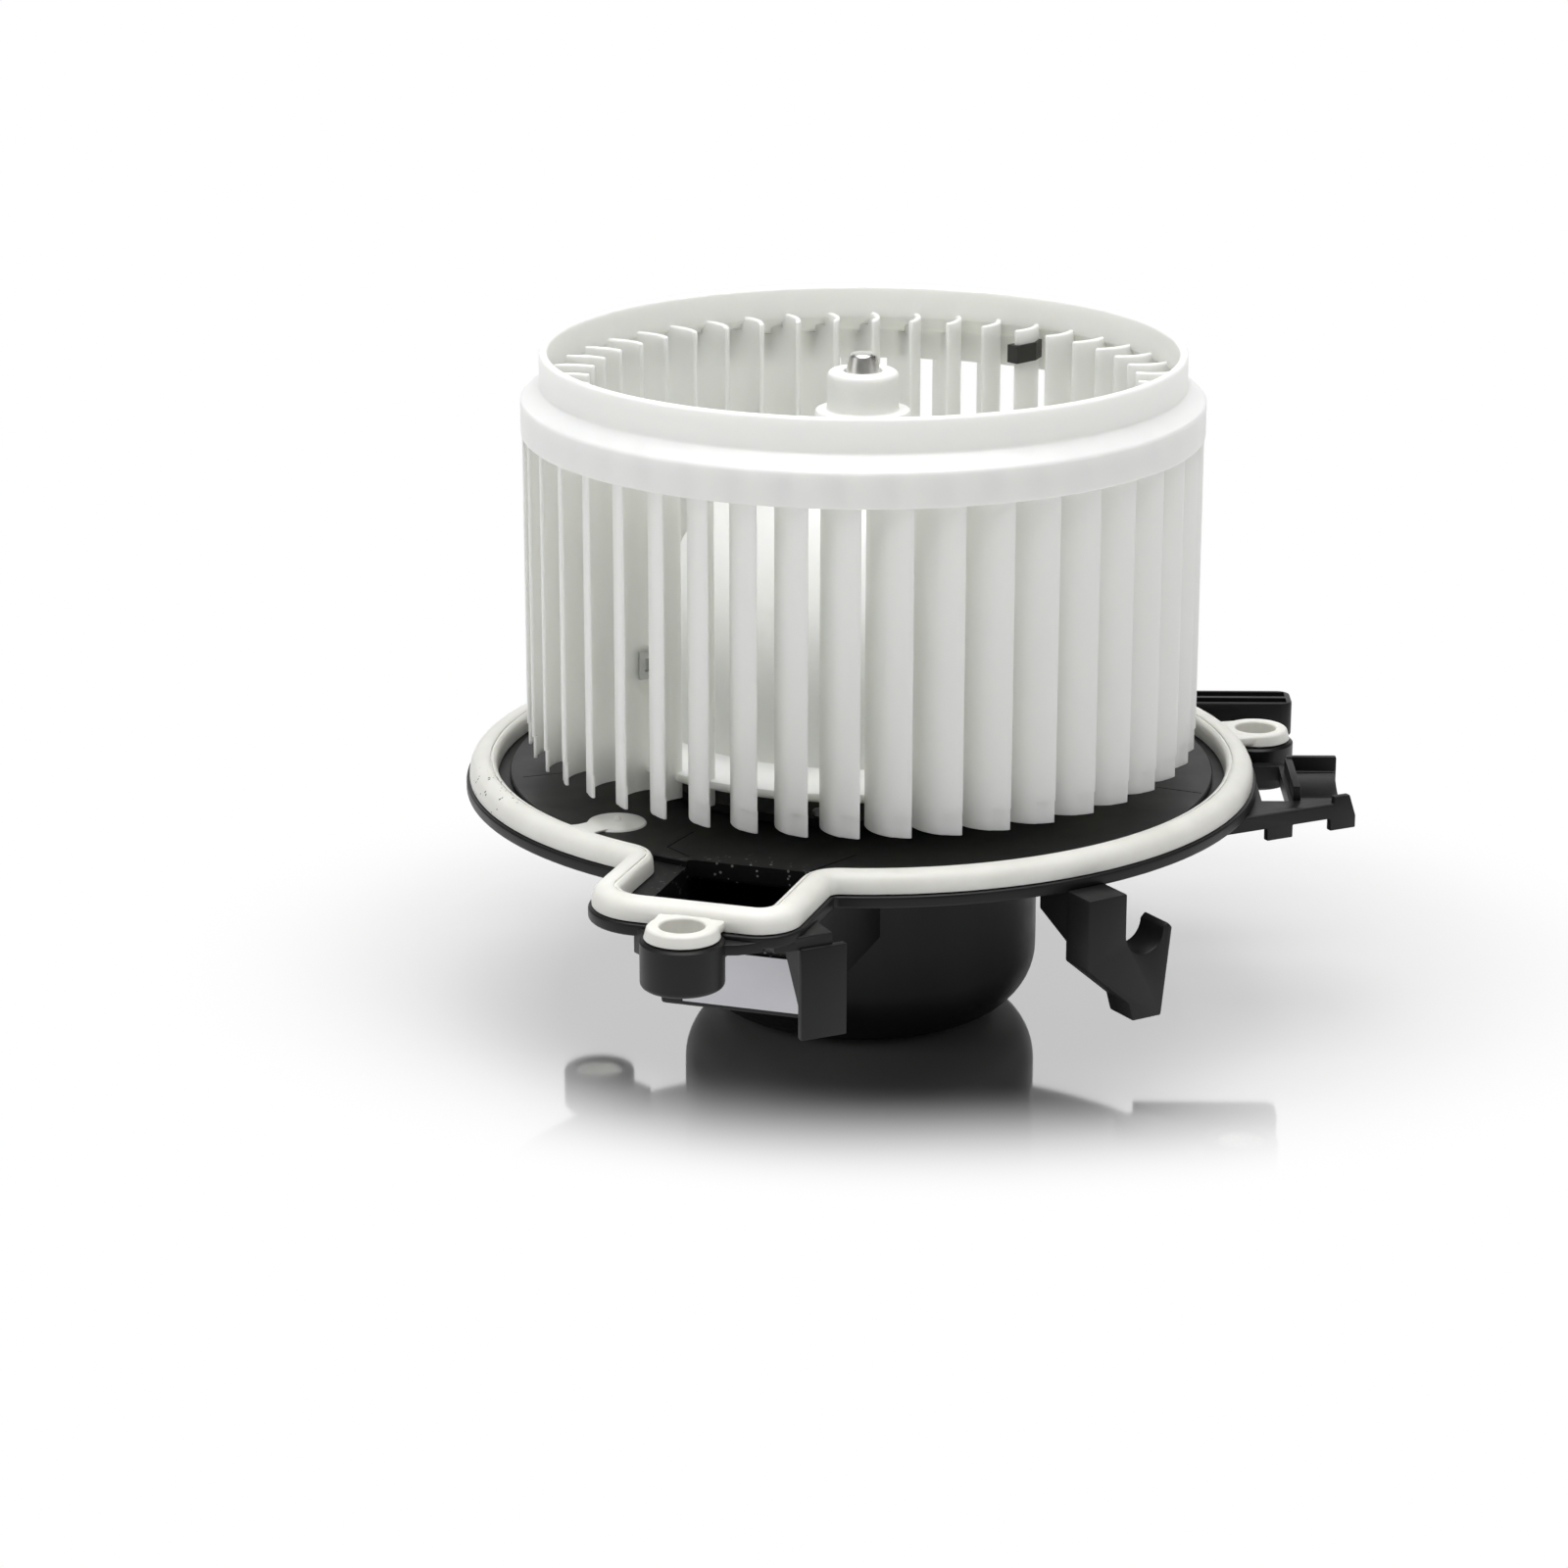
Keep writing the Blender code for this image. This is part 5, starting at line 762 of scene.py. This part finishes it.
def speckled(material, speck_colour, centre, reach, **speck_values):
    """Lay specks of another colour over a material, only near a place, and fading away from it."""
    tree = material.node_tree
    shader = tree.nodes["Principled BSDF"]
    spots = node_of(tree, "ShaderNodeGroup", (-700, 500), node_tree=specks, **speck_values)
    where = node_of(tree, "ShaderNodeTexCoord", (-700, 750))
    gap = node_of(tree, "ShaderNodeVectorMath", (-520, 750), operation="DISTANCE")
    gap.inputs[1].default_value = centre
    fading = node_of(tree, "ShaderNodeMapRange", (-340, 750), interpolation_type="SMOOTHSTEP",
                     From_Min=reach * FADE_FROM, From_Max=reach, To_Min=1.0, To_Max=0.0)
    amount = node_of(tree, "ShaderNodeMath", (-100, 450), operation="MULTIPLY")
    laid = node_of(tree, "ShaderNodeMix", (50, 250), data_type="RGBA")
    laid.inputs[7].default_value = (*speck_colour, 1.0)
    tree.links.new(shader.inputs["Base Color"].links[0].from_socket, laid.inputs[6])
    wired(tree, (where, "Object", gap, 0), (gap, "Value", fading, "Value"), (spots, "Mask", amount, 0),
          (fading, "Result", amount, 1), (amount, 0, laid, "Factor"), (laid, 2, shader, "Base Color"))


def painted(piece, material):
    """Give a piece one material."""
    piece.data.materials.clear()
    piece.data.materials.append(material)


black_plastic = finish("black_plastic", (0.0060, 0.0060, 0.0063), (0.0095, 0.0095, 0.0100), 0.36, 0.48,
                       Specular_IOR_Level=0.28)
speckled(black_plastic, (0.35, 0.35, 0.34), DUST_PLACE, DUST_REACH, Scale=800.0, Size=0.26, Share=0.45)
painted(carrier, black_plastic)


# The seal: one soft white moulding, with some dirt on its left. Its bead stands on the rim with a full
# outer side, a fine groove on the crest and a lip inside. Rings line the screw bosses, and a gate pad
# lies on the disc. The bead's, pad's and runner's tables are in millimetres.
SEAL_BASE = 0.0582
RING_TOP = 0.0608
RING_RADIUS = 0.0076
RING_FOOT = 0.0083
RING_BORE = 0.0049
SLEEVE_RADIUS = 0.0063
SLEEVE_LOW = 0.0483
RING_STEPS = 56
WEB_HALF = 0.0078
WEB_END_HALF = 0.0074
WEB_LOW = SEAL_BASE + 0.0001
WEB_THICK = RING_TOP - SEAL_BASE - 0.0003
WEB_GAP = 0.0008
HOLE_SPAN = (0.050, 0.065)
PAD_ANGLE = math.radians(-139.4)
PAD_REACH = 0.0737
PAD_BASE = 0.0595
BEAD_SECTION = [(-3.4, 0.0), (-3.4, 1.0), (-3.25, 2.1), (-2.8, 3.1), (-2.1, 3.85), (-1.2, 4.35),
                (-0.3, 4.6), (0.7, 4.6), (1.3, 4.45), (1.55, 4.25), (1.62, 3.75), (1.84, 3.75),
                (1.92, 4.2), (2.2, 4.25), (2.7, 3.95), (3.1, 3.2), (3.3, 2.1), (3.4, 0.9), (3.4, 0.0)]
PAD_SECTION = [(0.0, 1.8), (0.6, 1.7), (0.9, 1.3), (1.2, 0.9), (3.5, 0.8), (5.6, 0.6), (6.6, 0.4),
               (6.9, 0.0), (0.0, 0.0)]
RUNNER_SHAPE = [(3.0, -4.2), (6.2, -3.4), (8.5, -3.5), (13.2, -5.4), (13.2, 5.4), (8.5, 3.5), (6.2, 3.4),
                (3.0, 4.2)]
DIRT_PLACE = (-0.083, -0.030, 0.061)
DIRT_REACH = 0.020


def line_curve(name, points, cyclic):
    """Draw a line and turn it into a curve."""
    drawn(name, points)
    bpy.ops.object.mode_set(mode="OBJECT")
    bpy.ops.object.convert(target="CURVE")
    curve = bpy.context.object
    curve.data.splines[0].use_cyclic_u = cyclic
    return curve


bead_path = line_curve("bead_path", level(rim_route(), SEAL_BASE), True)
bead_section = line_curve("bead_section", [(across / 1000, up / 1000, 0.0) for across, up in BEAD_SECTION],
                          True)
bead_path.data.dimensions = "2D"
bead_path.data.bevel_mode = "OBJECT"
bead_path.data.bevel_object = bead_section
bead_path.location.z = SEAL_BASE
chosen(bead_path)
bpy.ops.object.convert(target="MESH")
seal = bpy.context.object
seal.name = "rim_seal"
bpy.ops.object.transform_apply(location=True)
bpy.data.objects.remove(bead_section, do_unlink=True)
welded(seal)


def filleted(corners, steps=5):
    """Round the corners of a profile, each given as (radius, height, rounding)."""
    points = []
    for index, (across, up, rounding) in enumerate(corners):
        corner = Vector((across, up))
        if not rounding:
            points.append(corner)
            continue
        before = (Vector(corners[index - 1][:2]) - corner).normalized()
        after = (Vector(corners[(index + 1) % len(corners)][:2]) - corner).normalized()
        half_angle = before.angle(after) / 2
        centre = corner + (before + after).normalized() * (rounding / math.sin(half_angle))
        first = corner + before * (rounding / math.tan(half_angle)) - centre
        last = corner + after * (rounding / math.tan(half_angle)) - centre
        points += [centre + first.slerp(last, step / steps) * rounding for step in range(steps + 1)]
    return points


ring_corners = [(RING_BORE, RING_TOP, 0.0006), (RING_RADIUS, RING_TOP, 0.0009),
                (RING_FOOT, SEAL_BASE, 0.0), (SLEEVE_RADIUS, SEAL_BASE, 0.0),
                (SLEEVE_RADIUS, SLEEVE_LOW, 0.0), (RING_BORE, SLEEVE_LOW, 0.0)]
ring_profile = filleted(ring_corners)
rings = []
for number, (centre, angle, seal_line) in enumerate(BOSS_PLACES):
    rings.append(spun(f"ring_{number}", ring_profile + ring_profile[:1], RING_STEPS, centre))
    web = strip(angle, seal_line, WEB_HALF, centre.length - WEB_GAP, WEB_END_HALF)
    rings.append(plate(f"web_{number}", web, WEB_LOW, WEB_THICK, 0.0006))
    hole = cylinder(f"web_hole_{number}", RING_BORE + WEB_GAP, *HOLE_SPAN, RING_STEPS, centre)
    combined(rings[-1], "DIFFERENCE", [hole])

pad_profile = [(across / 1000, PAD_BASE + up / 1000) for across, up in PAD_SECTION]
pad = spun("pad", pad_profile, 48, polar(PAD_REACH, PAD_ANGLE))
runner = [placed(PAD_REACH + along / 1000, across / 1000, PAD_ANGLE) for along, across in RUNNER_SHAPE]
runner_strip = plate("runner", runner, PAD_BASE + 0.0001, 0.0006, 0.0002)
combined(seal, "UNION", [*rings, pad, runner_strip])
smoothed(seal, 40.0)

soft_white = finish("soft_white", (0.74, 0.735, 0.69), (0.80, 0.795, 0.76), 0.40, 0.55, 1800.0, 90.0, 0.04,
                    Subsurface_Weight=0.35, Subsurface_Radius=(1.0, 0.9, 0.7), Subsurface_Scale=0.0018)
speckled(soft_white, (0.08, 0.07, 0.06), DIRT_PLACE, DIRT_REACH, Scale=900.0, Size=0.30, Share=0.35)
painted(seal, soft_white)
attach(seal, "housing")
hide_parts("flange_seal")


# The blower wheel: one white polypropylene moulding. A stepped ring holds the tops of 43 blades,
# which curve forwards. A flat plate near their foot carries the bell and its hub. Low on each blade
# the outer edge steps back a little, and inside the ring only the blade's inner part goes on up.
WHEEL_STEPS = 192
BLADE_COUNT = 43
BLADE_FOOT = 0.0663
BLADE_LINE = 0.0714
BLADE_END = 0.1486
BLADE_HEAD = 0.1542
BLADE_NECK = 0.1508
HEAD_SHARE = 0.55
NECK_SHARE = 0.72
HEAD_FROM = 0.1470
NECK_FROM = 0.1471
BLADE_INNER = 0.0645
BLADE_OUTER = 0.0793
BLADE_THICK = 0.0013
BLADE_TIP_THICK = 0.0008
BLADE_SINK = 0.00030
SINK_FROM = 0.0785
LINE_WIDTH = 0.00005
INLET_ANGLE = math.radians(-24.0)
OUTLET_ANGLE = math.radians(84.0)
FIRST_TIP = math.radians(-90.4)
BLADE_STEPS = 18
PLATE_LOW = 0.0701
PLATE_TOP = 0.0726
HUB_TOP = 0.1554
BORE = 0.0043
HUB_RADIUS = 0.0112
COLLAR_RADIUS = 0.0084
COLLAR_FOOT = 0.1462
SKIRT_LOW = 0.1244
DOME_RADIUS = 0.0520
DOME_TOP = 0.1430
DOME_WALL = 0.0020
DOME_STEPS = 40
DOME_DRAWN = 37
INNER_STEPS = 32
PLATE_EDGE = [(0.0524, 0.0741), (0.0532, 0.0733), (0.0544, 0.0728), (0.0560, PLATE_TOP),
              (0.0652, PLATE_TOP), (0.0658, 0.0723), (0.0660, 0.0717), (0.0660, 0.0708), (0.0656, 0.0703),
              (0.0650, PLATE_LOW)]

ring_corners = [(0.0735, 0.1609, 0.0009), (0.0755, 0.1609, 0.0009), (0.0755, 0.1529, 0.0010),
                (0.0800, 0.1496, 0.0012), (0.0800, 0.1416, 0.0004), (0.0784, 0.1416, 0.0004),
                (0.0784, 0.1492, 0.0008), (0.0735, 0.1529, 0.0008)]
ring_profile = filleted(ring_corners)
ring = spun("wheel_ring", ring_profile + ring_profile[:1], WHEEL_STEPS)

dome_turn = math.acos(HUB_RADIUS / DOME_RADIUS)
dome_rise = (DOME_TOP - PLATE_TOP) / math.sin(dome_turn)
dome_outer = [(DOME_RADIUS * math.cos(turn), PLATE_TOP + dome_rise * math.sin(turn))
              for turn in (dome_turn * (1 - step / DOME_STEPS) for step in range(DOME_DRAWN))]
inner_radius = DOME_RADIUS - DOME_WALL
inner_turn = math.acos(COLLAR_RADIUS / inner_radius)
dome_inner = [(inner_radius * math.cos(turn), PLATE_LOW + dome_rise * math.sin(turn))
              for turn in (inner_turn * step / INNER_STEPS for step in range(INNER_STEPS + 1))]
hub_top = filleted([(BORE, HUB_TOP, 0.0003), (COLLAR_RADIUS, HUB_TOP, 0.0014),
                    (COLLAR_RADIUS, COLLAR_FOOT, 0.0004), (HUB_RADIUS, COLLAR_FOOT, 0.0)], 4)[:-1]
hub_top += [(0.0105, COLLAR_FOOT), (0.01104, 0.14598), (HUB_RADIUS, 0.1455)]
skirt = [(COLLAR_RADIUS, SKIRT_LOW), (BORE, SKIRT_LOW)]
hub_profile = hub_top + dome_outer + PLATE_EDGE + dome_inner + skirt
hub = spun("wheel_hub", hub_profile + hub_profile[:1], WHEEL_STEPS)

swing = OUTLET_ANGLE - INLET_ANGLE
run = math.sin(OUTLET_ANGLE) - math.sin(INLET_ANGLE)
rise = math.cos(INLET_ANGLE) - math.cos(OUTLET_ANGLE)
square = run ** 2 + rise ** 2
half_b = BLADE_INNER * run
camber_radius = (math.sqrt(half_b ** 2 + square * (BLADE_OUTER ** 2 - BLADE_INNER ** 2)) - half_b) / square


def blade_line(share):
    """A point of the blade's camber and its direction, from the inner edge at 0 to the tip at 1."""
    angle = INLET_ANGLE + swing * share
    point = Vector((BLADE_INNER + camber_radius * (math.sin(angle) - math.sin(INLET_ANGLE)),
                    camber_radius * (math.cos(INLET_ANGLE) - math.cos(angle))))
    return point, polar(1.0, angle)


def blade_outline(end):
    """Both sides of the blade up to a share of its camber, with round ends."""
    left, right = [], []
    for step in range(BLADE_STEPS + 1):
        share = end * step / BLADE_STEPS
        point, along = blade_line(share)
        half_thick = (BLADE_THICK + (BLADE_TIP_THICK - BLADE_THICK) * max(0.0, share - 0.5) * 2) / 2
        side = Vector((-along.y, along.x)) * half_thick
        left.append(point + side)
        right.append(point - side)
    caps = []
    for share, ahead in ((end, 1.0), (0.0, -1.0)):
        point, along = blade_line(share)
        half_thick = (right[-1] - left[-1]).length / 2 if ahead > 0 else BLADE_THICK / 2
        side = Vector((-along.y, along.x)) * half_thick
        caps.append([point + side * ahead * math.cos(turn) + along * ahead * half_thick * math.sin(turn)
                     for turn in (math.pi * step / 4 for step in (1, 2, 3))])
    return left + caps[0] + right[::-1] + caps[1]


blade = plate("blade", blade_outline(1.0), BLADE_FOOT, BLADE_LINE - BLADE_FOOT)
bpy.ops.object.mode_set(mode="EDIT")
bpy.ops.mesh.select_all(action="DESELECT")
bpy.ops.object.mode_set(mode="OBJECT")
for face in blade.data.polygons:
    face.select = face.center.z > BLADE_LINE - FINE_MERGE
bpy.ops.object.mode_set(mode="EDIT")
bpy.ops.mesh.select_mode(type="FACE")
for lift in (LINE_WIDTH, BLADE_END - BLADE_LINE - LINE_WIDTH):
    bpy.ops.mesh.extrude_region_move(TRANSFORM_OT_translate={"value": (0.0, 0.0, lift)})
bpy.ops.mesh.select_mode(type="VERT")
bpy.ops.object.mode_set(mode="OBJECT")
for vertex in blade.data.vertices:
    reach = vertex.co.to_2d().length
    if vertex.co.z < BLADE_LINE + 2 * FINE_MERGE and reach > SINK_FROM:
        vertex.co.xy *= 1.0 - BLADE_SINK / reach
neck = plate("blade_neck", blade_outline(NECK_SHARE), NECK_FROM, BLADE_NECK - NECK_FROM)
head = plate("blade_head", blade_outline(HEAD_SHARE), HEAD_FROM, BLADE_HEAD - HEAD_FROM, 0.0005, 3, 60.0)
combined(blade, "UNION", [head, neck])
tip = blade_line(1.0)[0]
first_turn = FIRST_TIP - math.atan2(tip.y, tip.x)
for vertex in blade.data.vertices:
    turn = math.atan2(vertex.co.y, vertex.co.x) + first_turn
    vertex.co.xy = polar(vertex.co.to_2d().length, turn)
chosen(blade)
bpy.ops.object.mode_set(mode="EDIT")
bpy.ops.mesh.select_mode(type="VERT")
bpy.ops.mesh.select_all(action="SELECT")
bpy.ops.mesh.spin(steps=BLADE_COUNT, dupli=True, angle=math.tau, center=(0.0, 0.0, 0.0),
                  axis=(0.0, 0.0, 1.0))
bpy.ops.mesh.select_all(action="SELECT")
bpy.ops.mesh.remove_doubles(threshold=FINE_MERGE)
bpy.ops.object.mode_set(mode="OBJECT")
wheel = blade
wheel.name = "blade_wheel"
combined(wheel, "UNION", [ring, hub])
smoothed(wheel, 36.0)

white_plastic = finish("white_plastic", (0.915, 0.92, 0.875), (0.93, 0.94, 0.90), 0.30, 0.40, 2200.0,
                       35.0, 0.03, Subsurface_Weight=0.7, Subsurface_Radius=(1.0, 1.0, 0.85),
                       Subsurface_Scale=0.0045)
painted(wheel, white_plastic)
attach(wheel, "rotor")
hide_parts("blower_wheel")


# The motor shaft: ground steel, 8 mm thick. Its tip tapers, ends in a low dome and stands above the
# hub. The rest of it is inside the motor.
SHAFT_LOW = 0.0077
SHAFT_TIP = 0.1597
SHAFT_RADIUS = 0.0040
TIP_RADIUS = 0.0031
TIP_LENGTH = 0.0046
DOME_HEIGHT = 0.0004

shaft_profile = filleted([(0.0, SHAFT_LOW, 0.0), (SHAFT_RADIUS, SHAFT_LOW, 0.0005),
                          (SHAFT_RADIUS, SHAFT_TIP - TIP_LENGTH, 0.0012),
                          (TIP_RADIUS, SHAFT_TIP - DOME_HEIGHT, 0.0013), (0.0, SHAFT_TIP, 0.0)], 8)
shaft = spun("shaft_turned", shaft_profile, 64)
smoothed(shaft, 40.0)
painted(shaft, finish("ground_steel", (0.74, 0.73, 0.70), (0.84, 0.83, 0.80), 0.26, 0.40, 3000.0, 350.0,
                      Metallic=1.0))
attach(shaft, "rotor")
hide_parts("motor_shaft")


# The brush springs: bright steel coils, wound as a line round their axis and swept to a round wire.
# Each stands against the end of its brush holder.
COIL_TURNS = 4
COIL_STEPS = 12
WIRE_RADIUS = 0.00028

bright_steel = finish("bright_steel", (0.50, 0.49, 0.48), (0.58, 0.57, 0.56), 0.16, 0.28, 3000.0, 400.0,
                      Metallic=1.0)
for side, outwards in (("left", -1), ("right", 1)):
    low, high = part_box(f"brush_spring_{side}")
    height = (low[2] + high[2]) / 2
    coil_radius = (high[1] - low[1]) / 2 - WIRE_RADIUS
    run = high[0] - low[0] - 2 * WIRE_RADIUS
    turns = [math.tau * step / COIL_STEPS for step in range(COIL_STEPS * COIL_TURNS + 1)]
    line = [(low[0] + WIRE_RADIUS + run * turn / turns[-1], coil_radius * math.cos(turn),
             height + coil_radius * math.sin(turn)) for turn in turns]
    coil = line_curve(f"brush_coil_{side}", line, False)
    coil.data.bevel_depth = WIRE_RADIUS
    coil.data.bevel_resolution = 1
    coil.data.use_fill_caps = True
    bpy.ops.object.convert(target="MESH")
    coil = bpy.context.object
    welded(coil, FINE_MERGE)
    smoothed(coil, 60.0)
    painted(coil, bright_steel)
    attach(coil, "housing")
    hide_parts(f"brush_spring_{side}")
    end = low[0] if outwards < 0 else high[0]
    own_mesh(coil)


# The label, the balance clips and the motor's other pieces keep their CAD shapes. Each gets its real
# finish: bare label paper, zinc and dark steel, ferrite, copper, brass, bronze, carbon and rubber.
NODE_FINISHES = {
    "label_white": finish("bare_label", (0.74, 0.74, 0.78), (0.80, 0.80, 0.84), 0.55, 0.65, 1500.0, 40.0,
                          0.03),
    "rubber": finish("black_rubber", (0.016, 0.016, 0.016), (0.024, 0.024, 0.024), 0.7, 0.85, 1200.0),
    "zinc_steel": finish("zinc_steel", (0.52, 0.53, 0.54), (0.64, 0.64, 0.63), 0.25, 0.42, 900.0, 220.0,
                         Metallic=1.0),
    "bright_steel": bright_steel,
    "dark_steel": finish("dark_steel", (0.016, 0.015, 0.014), (0.026, 0.025, 0.022), 0.42, 0.58, 1500.0,
                         300.0),
    "ferrite": finish("ferrite", (0.04, 0.04, 0.045), (0.07, 0.07, 0.075), 0.6, 0.8, 1600.0, 300.0, 0.2),
    "copper": finish("varnished_copper", (0.55, 0.22, 0.10), (0.72, 0.36, 0.20), 0.22, 0.38, 2500.0, 500.0,
                     0.2, Metallic=1.0),
    "brass": finish("brass", (0.62, 0.46, 0.20), (0.75, 0.58, 0.28), 0.25, 0.38, 2000.0, 200.0,
                    Metallic=1.0),
    "bronze": finish("oiled_bronze", (0.38, 0.25, 0.13), (0.52, 0.36, 0.20), 0.35, 0.55, 4000.0, 300.0, 0.3,
                     Metallic=1.0),
    "carbon": finish("carbon", (0.02, 0.02, 0.02), (0.035, 0.035, 0.035), 0.45, 0.6, 2500.0),
    "card_brown": finish("brown_card", (0.20, 0.10, 0.05), (0.28, 0.16, 0.08), 0.5, 0.65, 1800.0),
    "black_plastic": black_plastic,
}
for row in frame["record"]["subparts"]:
    if row["material_slot"] in NODE_FINISHES:
        painted(frame["nodes"][row["node"]], NODE_FINISHES[row["material_slot"]])


size = {"cad": [list(corner) for corner in cad_box], "visual": [list(corner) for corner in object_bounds()]}
